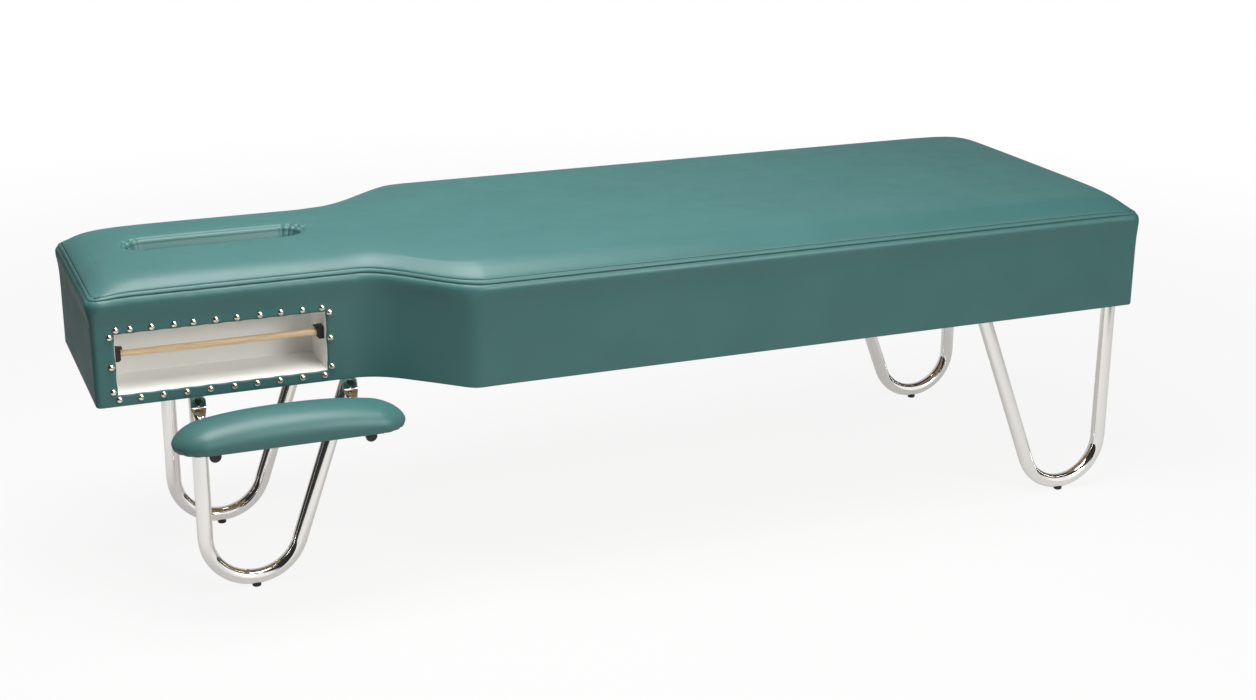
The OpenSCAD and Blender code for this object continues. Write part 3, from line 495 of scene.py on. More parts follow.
def seam_shift(x):
    """The seam runs slightly higher round the head section than round the wide part."""
    along = SEAM_RISE - BODY_FALL * s_curve(shoulder_share(x), SEAM_S_SHARE)
    return along * MM - END_FALL * MM * ease((END_FALL_X - x) / END_FALL_REACH)


def follow_seam(z, x):
    """Height z, between the deck and the seam, moved in step with the seam's height at x."""
    share = np.clip((z - BAND_HIGH.z) / (settings()[0].seam_z - BAND_HIGH.z), 0, 1)
    return z + seam_shift(x) * share


def side_stations(corner):
    """Places along a side between its two corners: close together round the bay's mouth and at the shoulder's
    turns, and at the same place at every height except next to the corners."""
    cloth = settings()[0]
    a, b = cloth.shoulder_start, cloth.shoulder_end
    marks = [
        (corner - BAND_HIGH.x, 0), (BAY_LOW.x, 5), (BAY_HIGH.x, 92), (a - 44 * MM, 6), (a + 44 * MM, 26),
        (b - 15 * MM, 18), (b + 15 * MM, 14), (b + 60 * MM, 12), (BAND_HIGH.x - corner, 150),
    ]
    stations = [marks[0][0]]
    for (x0, _), (x1, n) in zip(marks, marks[1:]):
        stations += list(x0 + (x1 - x0) * np.arange(1, n + 1) / n)
    return np.array(stations)


def outline(flow, corner):
    """Points once round the bench and the unit vectors square to it, pointing out."""
    x = side_stations(corner)
    end = BAND_HIGH.x - corner
    turn = np.linspace(0, math.pi / 2, CORNER_STEPS + 1)[1:]

    def arc(cx, cy, start):
        return columns(cx + corner * np.cos(start + turn), cy + corner * np.sin(start + turn))

    wide = half_width(x, flow)
    head, body = half_width(np.array([-1.0, 1.0]), flow)
    foot_y = np.linspace(corner - body, body - corner, FOOT_END_STEPS + 1)[1:]
    head_y = np.linspace(head - corner, corner - head, HEAD_END_STEPS + 1)[1:]
    points = np.concatenate([
        columns(x, -wide), arc(end, corner - body, -math.pi / 2),
        columns(BAND_HIGH.x, foot_y), arc(end, body - corner, 0),
        columns(x, wide)[::-1][1:], arc(-end, head - corner, math.pi / 2),
        columns(-BAND_HIGH.x, head_y), arc(-end, corner - head, math.pi)[:-1],
    ])
    along = np.roll(points, -1, 0) - np.roll(points, 1, 0)
    out = columns(along[:, 1], -along[:, 0])
    return points, out / np.linalg.norm(out, axis=1, keepdims=True)


def level(flow, corner, inset, z):
    """The outline moved in by inset, at height z: inset and z may differ from point to point."""
    points, out = outline(flow, corner)
    inset = np.broadcast_to(inset, len(points))[:, None]
    return raised(points - out * inset, follow_seam(z, points[:, 0]))


# Millimetres below the seam, and the share of the swell there
SWELL_PROFILE = [(-2, -0.6), (0, -0.4), (1.6, -0.05), (4.5, 0.55), (8, 0.9), (12, 1), (18, 0.92), (26, 0.62),
                 (36, 0.3), (52, 0.08), (80, 0), (900, 0)]


def swell(z):
    """How far the foam-backed side stands out at height z, as a share of the swell."""
    return spline(SWELL_PROFILE, np.atleast_1d((settings()[0].seam_z - z) / MM))[:, 0]


def swell_heights():
    """Heights of the rows from the deck to just under the seam, and each one's flow."""
    low, rise = BAND_HIGH.z, settings()[0].seam_z - BAND_HIGH.z
    share = np.linspace(0, 1, 17)
    return list(zip(low + rise * share * 0.985, ease(share * 1.02)))


def swell_corner(flow):
    """Radius of the outline's corners, from the skirt's at flow 0 to the seam's at flow 1."""
    return SKIRT_CORNER + (SEAM_CORNER - SKIRT_CORNER) * flow


def ripple(points, length, seed):
    """A slow uneven wave along the outline, from -1 to 1."""
    s = np.concatenate([[0], np.cumsum(np.linalg.norm(np.diff(points[:, :2], axis=0), axis=1))])
    turn = s / (s[-1] + length) * 2 * math.pi
    whole = round(s[-1] / length)
    return (np.sin(turn * whole + seed) + 0.6 * np.sin(turn * round(whole * 1.7) + 2 * seed)
            + 0.4 * np.sin(turn * round(whole * 0.45) + 3 * seed)) / 2


# Each nail's share of the way along its edge of the bay's mouth. Nails driven by hand aren't even.
NAIL_SHARES = {
    "top": (0.01, 0.075, 0.175, 0.28, 0.37, 0.475, 0.575, 0.685, 0.785, 0.89, 0.985),
    "bottom": (0.005, 0.105, 0.21, 0.32, 0.43, 0.545, 0.655, 0.765, 0.875, 0.985),
    "head": (0.06, 0.47, 0.96),
    "foot": (0.065, 0.55, 0.98),
}
NAIL_MARGIN = 7 * MM


def nail_places():
    """[x, z] of each nail round the bay's mouth."""
    wide, high = BAY_HIGH.x - BAY_LOW.x, BAY_HIGH.z - BAY_LOW.z
    places = []
    for edge, z in (("top", BAY_HIGH.z + NAIL_MARGIN), ("bottom", BAY_LOW.z - NAIL_MARGIN)):
        places += [(BAY_LOW.x + share * wide, z) for share in NAIL_SHARES[edge]]
    for edge, x in (("head", BAY_LOW.x - NAIL_MARGIN), ("foot", BAY_HIGH.x + NAIL_MARGIN)):
        places += [(x, BAY_LOW.z + share * high) for share in NAIL_SHARES[edge]]
    return np.array(places)


# The skirt's turned-in edge: millimetres above its lower edge, and millimetres in from its face
HEM = [(1.5, 8.6), (0, 8.6), (0, 3.2), (0.2, 1.4), (0.9, 0.4), (2.2, 0)]
# Beside the bay the nails hold the vinyl flat, and it swells more and more from there on
HELD, HELD_FADE = 12 * MM, 40 * MM
CORNER_FULLNESS, CORNER_REACH = 0.3, 35 * MM
SIDE_WAVE, SIDE_TIGHT_WAVE = 60 * MM, 26 * MM


def model_side():
    """The skirt: turned in under the box, up its sides and over the swelling foam to the seam."""
    cloth = settings()[0]
    low = BAND_LOW.z
    rings = [level(0, SKIRT_CORNER, inset * MM, low + up * MM) for up, inset in HEM]
    plan = rings[0][:, :2]
    wave, tight = ripple(plan, SIDE_WAVE, 1.3), ripple(plan, SIDE_TIGHT_WAVE, 0.4)
    past = np.maximum(BAY_LOW.x - plan[:, 0], plan[:, 0] - BAY_HIGH.x)
    free = np.where(plan[:, 1] < 0, ease((past - HELD) / HELD_FADE), 1.0)
    end = BAND_HIGH.x - np.abs(plan[:, 0])
    edge = half_width(plan[:, 0], 1.0) - np.abs(plan[:, 1])
    full = 1 + CORNER_FULLNESS * bell(np.hypot(end, edge), CORNER_REACH)

    heights = [*np.linspace(low + 5 * MM, BAY_LOW.z, 6)[:-1], *np.linspace(BAY_LOW.z, BAY_HIGH.z, 29),
               *np.linspace(BAY_HIGH.z, BAND_HIGH.z, 7)[1:-1]]
    for z, flow in [(z, 0.0) for z in heights] + swell_heights():
        foam = ease((z - BAND_HIGH.z + 7 * MM) / (14 * MM))
        near_seam = ease((z - BAND_HIGH.z) / (cloth.seam_z - BAND_HIGH.z))
        out = swell(z) * cloth.swell * full * (free * (1 - foam) + foam)
        out = out + (0.25 * wave + 0.22 * tight * near_seam) * MM * near_seam
        rings.append(level(flow, swell_corner(flow), -out, z))
    for inset, below in ((2.2, 0.9), (3.8, 0.8)):
        rings.append(level(1, SEAM_CORNER, inset * MM, cloth.seam_z - below * MM))
    piece = skin(rings, closed=False)

    bpy.ops.object.mode_set(mode="EDIT")
    face_y = -cloth.head_width / 2
    pick_faces(lambda c: (abs(c.y - face_y) < 2 * MM and BAY_LOW.x < c.x < BAY_HIGH.x
                          and BAY_LOW.z < c.z < BAY_HIGH.z))
    bpy.ops.mesh.delete(type="FACE")
    bpy.ops.object.mode_set(mode="OBJECT")
    pull_mouth(piece, face_y)
    modifier = piece.modifiers.new("cover", "SOLIDIFY")
    modifier.thickness, modifier.offset, modifier.use_rim = cloth.cover, -1.0, True
    bpy.ops.object.modifier_apply(modifier=modifier.name)
    return settle(piece, "vinyl_side", "upholstery_vinyl", "bench", ["side_band"])


MOUTH_BAND, MOUTH_SLACK, SCALLOP_REACH = 7 * MM, 0.8 * MM, 9 * MM
NAIL_DIMPLE, DIMPLE_REACH = 0.45 * MM, 6 * MM


def pull_mouth(piece, face_y):
    """Draws the cut edge of the bay's mouth towards its nails, in shallow scallops, and dimples the vinyl
    under each head."""
    places = nail_places()
    middle = (BAY_LOW + BAY_HIGH) / 2
    for v in piece.data.vertices:
        if abs(v.co.y - face_y) > 2 * MM or not (BAY_LOW.x - 0.03 < v.co.x < BAY_HIGH.x + 0.03):
            continue
        nearest = np.hypot(places[:, 0] - v.co.x, places[:, 1] - v.co.z).min()
        v.co.y += NAIL_DIMPLE * bell(nearest, DIMPLE_REACH)
        dx, dz = (max(BAY_LOW[k] - v.co[k], v.co[k] - BAY_HIGH[k]) for k in (0, 2))
        edge = max(dx, dz)
        if edge <= MOUTH_BAND:
            free = MOUTH_SLACK * ease((nearest - MOUTH_BAND) / SCALLOP_REACH) * (1 - ease(edge / MOUTH_BAND))
            axis = 2 if dz >= dx else 0
            v.co[axis] += float(free) * (1 if v.co[axis] > middle[axis] else -1)


# The padded top. Its rows start under the foam's edge, cross the seam, run over the crown, down the face slot
# and back along the underside.

EDGE_BAND, CORNER_SPREAD = 0.110, 0.24
CROWN_BEND, CORNER_DROP = 0.9, 0.7


def climb(distance):
    """Share of the crown's rise at a distance in from an edge."""
    return 1 - np.exp(-(np.maximum(distance, 0) / settings()[0].crown_reach) ** CROWN_BEND)


def crown_rise(x, y):
    """Rise of the top above the seam at x, y: it climbs from every edge and falls off at the corners."""
    cloth = settings()[0]
    step = 0.5 * MM
    slope = (half_width(x + step, 1.0) - half_width(x - step, 1.0)) / (2 * step)
    apart = half_width(x, 1.0) - np.abs(y)
    t = shoulder_share(x)
    softer = s_curve(t, CROWN_S_SHARE) - s_curve(t, S_SHARE)
    apart = apart + (BAND_HIGH.y - cloth.head_width / 2) * softer * ease(apart / (70 * MM))
    side = climb(apart / np.hypot(1, slope))
    end = climb(BAND_HIGH.x - np.abs(x))
    return cloth.crown * side * end * (1 - CORNER_DROP * (1 - side) * (1 - end))


def rim_insets(rim, toward, stops):
    """How far in along toward each stop lies, where stops are distances along the cover from the seam."""
    grid = np.concatenate([np.linspace(0, 3 * MM, 16), np.linspace(3 * MM, 60 * MM, 58)[1:]])
    rise = np.array([crown_rise(*(rim + toward * inset).T) for inset in grid])
    stride = np.diff(grid)[:, None] * np.linalg.norm(toward, axis=1)
    run = np.cumsum(np.hypot(stride, np.diff(rise, axis=0)), axis=0)
    run = np.concatenate([np.zeros((1, len(rim))), run])
    return np.array([[np.interp(stop, run[:, point], grid) for point in range(len(rim))] for stop in stops])


def core_points(points):
    """Points 110 mm in from the rim that its points move towards: those near a corner move to the core's."""
    x, y = points.T
    start = BAND_HIGH.x - CORNER_SPREAD
    reach = (np.abs(x) - start) / (CORNER_SPREAD - SEAM_CORNER)
    slid = np.sign(x) * (start + np.clip(reach, 0, 1) * (CORNER_SPREAD - EDGE_BAND))
    wide = half_width(x, 1.0)
    on_end = np.abs(x) > BAND_HIGH.x - 1e-6
    core_y = np.where(on_end, y * (wide - EDGE_BAND) / (wide - SEAM_CORNER), np.sign(y) * (wide - EDGE_BAND))
    return columns(np.where(reach > 0, slid, x), core_y)


# The face slot is a long hole with round ends. A key gives a place round it: 0 at its head tip, 1 at its
# foot tip by way of the near side, and 2 back at the head tip.

LIP = 7 * MM
PINCH = 15 * MM
SLOT_R = LINING_HIGH.y - LIP
SLOT_HEAD, SLOT_FOOT = LINING_LOW.x + LIP + SLOT_R, LINING_HIGH.x - LIP - SLOT_R
SEAM_DIP = 3.9 * MM


def slot_loop(offset, keys, pinch=PINCH):
    """Points round the face slot's wall, moved out by offset, one for each key. Pinch is how far the foam
    draws its head end in."""
    near = np.where(keys > 1, 2 - keys, keys)
    r = SLOT_R + offset
    head, run, foot = (np.clip(near * 3 - third, 0, 1) for third in (0, 1, 2))
    start = SLOT_HEAD + pinch
    places = [near < 1 / 3, near > 2 / 3]
    head, foot = head * math.pi / 2, foot * math.pi / 2
    straight = start + (SLOT_FOOT - start) * run
    x = np.select(places, [start - r * np.cos(head), SLOT_FOOT + r * np.sin(foot)], straight)
    y = np.select(places, [r * np.sin(head), r * np.cos(foot)], r)
    return columns(x, np.where(keys > 1, y, -y))


# Places along the bench and the slot keys that the sides' rim points run to there
KEY_PLACES, KEYS = (-0.800, -0.560, -0.330, 0.30), (1 / 3, 2 / 3, 0.78, 0.90)
HEAD_CORNER_KEY, FOOT_CORNER_GAP = 0.17, 0.05


def slot_keys(points):
    """The slot key that each rim point runs to."""
    x, y = points[:, 0], np.abs(points[:, 1])
    end = BAND_HIGH.x
    head_half = settings()[0].head_width / 2
    places = (1e-6 - end, *KEY_PLACES, end - 1e-6)
    side = np.interp(x, places, (HEAD_CORNER_KEY, *KEYS, 1 - FOOT_CORNER_GAP))
    head = HEAD_CORNER_KEY * y / (head_half - SEAM_CORNER)
    foot = 1 - FOOT_CORNER_GAP * y / (BAND_HIGH.y - SEAM_CORNER)
    key = np.select([x <= 2e-6 - end, x >= end - 2e-6], [head, foot], side)
    return np.where(points[:, 1] > 0, 2 - key, key)


def slot_place(plan):
    """For points in plan: their distance from the slot's wall, how far past its straight part they are, and
    the angle round its end, 0 pointing along the bench."""
    along = plan[:, 0] - np.clip(plan[:, 0], SLOT_HEAD + PINCH, SLOT_FOOT)
    return np.hypot(along, plan[:, 1]) - SLOT_R, along, np.arctan2(np.abs(plan[:, 1]), np.abs(along))


# Folds to a radian and the angle at which they start, at the head end and at the foot end
HEAD_FOLDS, FOOT_FOLDS = (8.0, 0.9), (9.5, 0.35)
FOLDS_END, FOLDS_FADE = math.radians(86), math.radians(20)


def gathers(along, angle):
    """Height of the small folds round the slot's two ends, from -1 in a crease to 0.35 on a pleat."""
    pace, start = (np.where(along > 0, foot, head) for head, foot in zip(HEAD_FOLDS, FOOT_FOLDS))
    wave = np.abs(np.sin(angle * pace + start))
    held = ease((FOLDS_END - angle) / FOLDS_FADE) * (np.abs(along) > 1e-6)
    return (1.35 * wave ** 0.55 - 1) * held


# Millimetres out from the slot's wall, and how far the top dips there
SLOT_DIP = [(5, 6.2), (6.9, 4.6), (7.3, 3.95), (8.4, 3.05), (10, 2.15), (12.5, 1.35), (16, 0.65), (21, 0.2),
            (28, 0), (2000, 0)]
# Rows of the top in millimetres: inwards along the cover from the seam, then out from the slot's wall, then
# inside the slot with each row's drop below the slot's seam
BAND_STOPS = [0, 0.5, 1.2, 2.2, 3.6, 5, 6.2, 7, 7.5, 7.8, 8.1, 8.6, 9.4, 10.6, 12.4, 15, 18.5, 23, 28.5, 35,
              43]
MOUTH_ROWS = [32, 27, 22, 18.5, 15.5, 13, 11, 9.6, 8.6, 7.8, 7.3, 6.9]
INNER_ROWS = [(6.9, 1.6), (5.4, 2.8), (3.7, 5), (3.3, 9), (3.3, 26)]
CROWN_STEPS, CROWN_STEP = 26, 8 * MM
TOP_WAVE, TOP_TIGHT_WAVE = 55 * MM, 21 * MM
HEAD_GATHERS, FOOT_GATHERS = 8 * MM, 13 * MM
# Millimetres: depth of the groove at the seam and its width, the band's rise, and the same of the stitches'
SEAM_GROOVE, SEAM_GROOVE_WIDTH, BAND_RISE, STITCH_GROOVE, STITCH_GROOVE_WIDTH = 1.5, 0.7, 0.55, 0.75, 0.75
# Millimetres: height of the puff beyond the stitches, its distance from them and its width
PUFF, PUFF_PLACE, PUFF_WIDTH = 0.35, 5, 4


def top_surface(plan):
    """Height of the top at points in plan: the crown, its dip towards the face slot and the gathers there."""
    cloth = settings()[0]
    apart, along, angle = slot_place(plan)
    dip = spline(SLOT_DIP, apart / MM)[:, 0] * MM
    fade = bell(np.maximum(apart - LIP, 0), np.where(along > 0, FOOT_GATHERS, HEAD_GATHERS))
    return cloth.seam_z + crown_rise(*plan.T) - dip + gathers(along, angle) * fade * cloth.gather


def model_top():
    """The padded top with its seam, sewn band, crown and the mouth of the face slot."""
    cloth = settings()[0]
    inside = cloth.cover + 0.4 * MM
    rings = [level(flow, swell_corner(flow), inside - swell(z) * cloth.swell, z)
             for z, flow in swell_heights()[:-1]]
    rim, out = outline(1.0, SEAM_CORNER)
    toward = (core_points(rim) - rim) / EDGE_BAND
    keys = slot_keys(rim)
    wave, tight = ripple(rim, TOP_WAVE, 2.1), ripple(rim, TOP_TIGHT_WAVE, 0.9)

    # seam, raised band, row of stitches and rim, by distance along the cover
    rings.append(raised(rim - out * 3.8 * MM, cloth.seam_z + seam_shift(rim[:, 0]) - 0.2 * MM))
    stops = np.array(BAND_STOPS) * MM
    lift = crown_rise(*rim.T)
    for stop, inset in zip(stops, rim_insets(rim, toward, stops)):
        plan = rim + toward * inset[:, None]
        rise = crown_rise(*plan.T)
        ahead = crown_rise(*(plan + toward * 0.3 * MM).T)
        slope = np.arctan2(ahead - rise, 0.3 * MM * np.linalg.norm(toward, axis=1))
        past = stop - cloth.band
        proud = (-SEAM_GROOVE * bell(stop, SEAM_GROOVE_WIDTH * MM)
                 + BAND_RISE * math.sin(math.pi * min(stop / cloth.band, 1)) ** 0.5
                 - STITCH_GROOVE * bell(past, STITCH_GROOVE_WIDTH * MM))
        if past > 0:
            proud += PUFF * bell(past - PUFF_PLACE * MM, PUFF_WIDTH * MM)
        proud = (proud + (0.2 * wave + 0.18 * tight) * bell(past, 7 * MM)) * MM
        height = cloth.seam_z + rise - lift * np.exp(-inset / (8 * MM)) + proud * np.cos(slope)
        height = height + seam_shift(plan[:, 0]) * bell(inset, 24 * MM)
        rings.append(raised(plan + out * (proud * np.sin(slope))[:, None], height))
        if abs(past) < 0.1 * MM:
            line = rings[-1].copy()

    # over the crown, in steps that grow from 8 mm, then down to the slot's seam and inside it
    inner = slot_loop(MOUTH_ROWS[0] * MM, keys)
    length = np.linalg.norm(inner - plan, axis=1)
    first = np.minimum(length / CROWN_STEPS, CROWN_STEP)
    rows = []
    for step in range(1, CROWN_STEPS + 1):
        share = (first * step + (length - first * CROWN_STEPS) * (step / CROWN_STEPS) ** 2) / length
        rows.append(plan + (inner - plan) * share[:, None])
    rows += [slot_loop(offset * MM, keys) for offset in MOUTH_ROWS[1:]]
    rings += [raised(row, top_surface(row)) for row in rows]
    seam = rings[-1][:, 2]
    rings += [raised(slot_loop(offset * MM, keys), seam - drop * MM) for offset, drop in INNER_ROWS]
    low = BAND_HIGH.z + 0.2 * MM
    rings.append(raised(slot_loop(INNER_ROWS[-1][0] * MM, keys), low))
    wall, under = rings[-1], rings[0].copy()
    for share in (0.25, 0.6, 0.9):
        rings.append(wall * (1 - share) + under * share)
        rings[-1][:, 2] = low
    rings = np.array(rings)
    tuck_corners(rings)
    piece = skin(rings)
    settle(piece, "vinyl_top", "upholstery_vinyl", "bench", ["top_cushion"])
    return line


TUCK_START, TUCK_LENGTH, TUCK_FADE = 7 * MM, 18 * MM, 13 * MM
# Share of a tuck's direction along and across the bench, and millimetres that it goes down and its puff up
TUCK_ALONG, TUCK_ACROSS, TUCK_DEPTH, TUCK_PUFF = 0.90, 0.44, 2.4, 0.9


def tuck_corners(rings):
    """Presses the small tucks of the two head corners into the top, where its fullness is folded away."""
    cloth = settings()[0]
    for side in (-1, 1):
        rel = rings[..., :2] - (TUCK_START - BAND_HIGH.x, side * (cloth.head_width / 2 - TUCK_START))
        run = rel @ (TUCK_ALONG, -side * TUCK_ACROSS)
        apart = rel @ (side * TUCK_ACROSS, TUCK_ALONG)
        above = ease((rings[..., 2] - cloth.seam_z + 1 * MM) / (1.5 * MM))
        reach = ease(run / (2 * MM)) * ease((TUCK_LENGTH - run) / TUCK_FADE) * above
        crease = bell(apart, 1.5 * MM)
        puff = bell(apart + 3.4 * MM * side, 2.6 * MM)
        rings[..., 2] += (TUCK_PUFF * puff - TUCK_DEPTH * crease) * reach * MM


STITCH_FLAT, STITCH_LIFT = 0.8, 0.18 * MM


def model_stitches(line):
    """One row of stitches along the band: line is the closed row of points that they sit on."""
    cloth = settings()[0]
    rest()
    bpy.ops.mesh.primitive_uv_sphere_add(segments=6, ring_count=5, radius=0.5)
    stitch = bpy.context.active_object
    closed = np.concatenate([line, line[:1]])
    run = np.concatenate([[0], np.cumsum(np.linalg.norm(np.diff(closed, axis=0), axis=1))])
    count = int(run[-1] // cloth.stitch_pitch)
    at = (np.arange(count) + 0.5) / count * run[-1]
    half = cloth.stitch_length / 2
    middle, ahead, behind = (
        columns(*[np.interp(at + step, run, part) for part in closed.T]) for step in (0, half, -half))
    places = []
    for m, a, b in zip(middle, ahead, behind):
        forward = Vector(a - b).normalized()
        side = forward.cross(Vector((0, 0, 1))).normalized()
        up = side.cross(forward)
        axes = Matrix((side * cloth.thread, forward * cloth.stitch_length, up * cloth.thread * STITCH_FLAT))
        places.append(Matrix.Translation(Vector(m) + (side + up) * STITCH_LIFT) @ axes.transposed().to_4x4())
    copies(stitch, places)
    return settle(stitch, "seam_stitches", "sewing_thread", "bench")


# Rows of the lining: millimetres out from the slot's wall and down from its seam, and share of the gathers.
# They go round the lip, down the wall and up behind it.
LIP_ANGLES = np.radians([8, 16, 26, 38, 50, 62, 74, 84, 90])
LINING_ROWS = [
    (7.4, 1.6, 0.3), (7.1, 0.7, 0.6), *[(7 - 7 * math.sin(a), 7 - 7 * math.cos(a), 1.0) for a in LIP_ANGLES],
    (-1.8, 10, 1.0), (-3.6, 14, 0.9), (-5.2, 19, 0.65), (-6.0, 26, 0.3), (-5.2, 36, 0.1), (-2.6, 50, 0),
    (0, 70, 0), (0, 1000, 0), (1.5, 1000, 0), (1.5, 70, 0), (-2.8, 42, 0), (-4.4, 26, 0.3), (-2.6, 17, 0.9),
    (1.1, 10, 1.0), (1.5, 7, 1.0), (3.1, 3.2, 1.0), (5.3, 1.9, 0.9),
]


def model_lining():
    """The face slot's vinyl lining: a rolled lip under the top's seam and the wall, gathered at both ends."""
    cloth = settings()[0]
    half = np.concatenate([np.linspace(0, 1 / 3, 111)[:-1], np.linspace(1 / 3, 2 / 3, 31)[:-1],
                           np.linspace(2 / 3, 1, 111)[:-1]])
    keys = np.concatenate([half, 1 + half])
    lip = slot_loop(LIP, keys)
    _, along, angle = slot_place(lip)
    fold = gathers(along, angle) * cloth.gather
    top = cloth.seam_z + crown_rise(*lip.T) - SEAM_DIP
    rings = []
    for offset, drop, share in LINING_ROWS:
        lean = min(max(drop / 7, 0), 1) * math.pi / 2
        pinch = PINCH * (1 - float(ease((drop - 20) / 50)))
        plan = slot_loop(offset * MM, keys, pinch)
        away = plan - columns(np.clip(plan[:, 0], SLOT_HEAD + pinch, SLOT_FOOT), 0)
        away /= np.linalg.norm(away, axis=1, keepdims=True)
        plan = plan - away * (fold * share * math.sin(lean))[:, None]
        rings.append(raised(plan, np.maximum(top - drop * MM + fold * share * math.cos(lean), LINING_LOW.z)))
    piece = skin(rings)
    return settle(piece, "vinyl_slot_lining", "upholstery_vinyl", "bench", ["face_slot_lining"])


# The arm pad's rows: share of its half width in from its side, and share of its height
PAD_PROFILE = [
    (1.0, 1.0), (0.86, 0.995), (0.70, 0.975), (0.56, 0.94), (0.43, 0.895), (0.32, 0.835), (0.23, 0.765),
    (0.155, 0.685), (0.10, 0.60), (0.055, 0.51), (0.025, 0.415), (0.006, 0.32), (0.0, 0.23), (0.002, 0.16),
    (0.008, 0.105), (0.018, 0.065), (0.032, 0.035), (0.052, 0.012), (0.08, 0.0), (0.17, 0.0), (0.184, 0.0),
    (0.184, 0.185),
]
PAD_ARCH, PAD_PLEATS, PLEAT_DEPTH, PLEAT_HEIGHT = 0.45, 9, 3.0 * MM, 0.13


def model_arm_pad(side, node):
    """A stuffed pad on its board: arched along its length, its tight lower edge gathered round its ends."""
    low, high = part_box(node)
    middle = (low + high) / 2
    half, reach, height = (high.x - low.x) / 2, (high.y - low.y) / 2, high.z - low.z
    straight = half - reach
    turn = np.linspace(-math.pi / 2, math.pi / 2, 85)
    run = np.linspace(-straight, straight, 57)[1:-1]
    square = np.full(len(run), math.pi / 2)
    bend = np.concatenate([turn, square, turn, -square])
    rings = []
    for inset, share in PAD_PROFILE:
        r = reach * (1 - inset)
        round_end = columns(straight + r * np.cos(turn), r * np.sin(turn))
        long_side = columns(run[::-1], r)
        plan = np.concatenate([round_end, long_side, -round_end, -long_side])
        past = np.abs(plan[:, 0]) - straight
        centre = columns(np.clip(plan[:, 0], -straight, straight), 0)
        away = (plan - centre) / max(r, 1e-9)
        tuck = bell(share, PLEAT_HEIGHT) * (inset < 0.1)
        crease = (np.abs(np.sin(bend * PAD_PLEATS + 0.5)) ** 0.45 - 0.85) * PLEAT_DEPTH
        plan = plan + away * (crease * tuck * ease(past / (8 * MM)))[:, None]
        arch = 1 - PAD_ARCH * (np.abs(plan[:, 0]) / half) ** 2.4 * ease(share / 0.4)
        rings.append(raised(plan + [middle.x, middle.y], low.z + height * share * arch))
    ceiling = np.array(rings[-1])
    ceiling[:, 1] = middle.y
    ceiling[:, 0] = np.clip(ceiling[:, 0], middle.x - straight, middle.x + straight)
    rings.append(ceiling)
    piece = skin(rings, closed=False, threshold=2e-5)
    settle(piece, f"vinyl_arm_pad_{side}", "upholstery_vinyl", "bench", [node])


# Metal

NAIL_EDGE, NAIL_PROUD, NAIL_POINTS = 0.6 * MM, 0.4 * MM, 24


def model_nails():
    """Domed nail heads round the bay's mouth: one is turned from its profile and copied to each place."""
    metal = settings()[1]
    r = metal.nail_d / 2
    rise = np.radians(np.linspace(0, 90, 9))
    profile = [(0, 0), (0.97 * r, 0), (r, 0.25 * MM)]
    profile += [(r * math.cos(a), NAIL_EDGE + (metal.nail_dome - NAIL_EDGE) * math.sin(a)) for a in rise]
    turn = round_angles(NAIL_POINTS)
    rings = [columns(w * np.cos(turn), -h, w * np.sin(turn)) for w, h in profile]
    nail = skin(rings, closed=False)
    face_y = NAIL_PROUD - settings()[0].head_width / 2
    copies(nail, [Matrix.Translation((x, face_y, z)) for x, z in nail_places()])
    return settle(nail, "nickel_nails", "nickel_plate", "bench", ["bay_nails"])


TUBE_POINTS, TAB_ANGLES = 64, np.radians([5, 15, 28, 42, 56, 72, 90])
TUBE_TAIL = 20 * MM
SHADE_ANGLE = math.radians(40)


def model_arm_tube(node):
    """A tube with a flattened, round-ended tab. A pressed dent narrows to a point where the tab turns into
    the round tube, which goes round its elbow and out under the arm pad."""
    metal = settings()[1]
    low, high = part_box(node)
    side, face = (-1, high.y) if "near" in node else (1, low.y)
    x, wide, r, bend_r = (low.x + high.x) / 2, (high.x - low.x) / 2, metal.arm_d / 2, metal.arm_bend_r
    turn = round_angles(TUBE_POINTS)
    across, ahead = np.cos(turn), np.sin(turn)
    front = ahead > 0

    def section(half, thick, z, fade, dent, spread):
        """The tube's outline at height z, from flat at fade 0 to round at fade 1."""
        power = 0.35 + 0.65 * fade
        px = half * np.sign(across) * np.abs(across) ** power
        py = thick / 2 * (1 + np.sign(ahead) * np.abs(ahead) ** power)
        bulge = 0.3 * MM * (1 - fade) * (1 - (px / (half + MM)) ** 2)
        py = py + front * (bulge - dent * bell(px, spread))
        return columns(x + px, face + side * py, z)

    rings = [np.tile([x, face + side * metal.tab_t / 2, high.z], (TUBE_POINTS, 1))]
    for a in TAB_ANGLES:
        rings.append(section(wide * math.sin(a), metal.tab_t, high.z - wide * (1 - math.cos(a)), 0, 0, MM))
    elbow_z = low.z + r + bend_r
    fade_top = high.z - metal.tab_flat
    for share in np.linspace(0, 1, 15):
        fade = float(ease(share))
        dent = metal.dent * math.sin(math.pi * min(share * 0.85 + 0.04, 1)) ** 0.7
        rings.append(section(wide + (r - wide) * fade, metal.tab_t + (2 * r - metal.tab_t) * fade,
                             fade_top - metal.tab_fade * share, fade, dent, (6.5 - 5 * share) * MM))
    for angle in np.radians(np.linspace(0, 90, 13)):
        lean = np.array([0, side * math.cos(angle), math.sin(angle)])
        centre = np.array([x, face + side * (r + bend_r), elbow_z]) - bend_r * lean
        rings.append(centre + r * (across[:, None] * [1, 0, 0] + ahead[:, None] * lean))
    end = low.y if side < 0 else high.y
    for y in (face + side * (r + bend_r + TUBE_TAIL), end, end):
        rings.append(columns(rings[-1][:, 0], y, rings[-1][:, 2]))
    rings[-1] = np.tile([x, end, low.z + r], (TUBE_POINTS, 1))
    piece = skin(rings, closed=False)
    bpy.ops.object.shade_smooth_by_angle(angle=SHADE_ANGLE)
    return settle(piece, "chrome_" + node, "chrome_plate", "bench", [node])


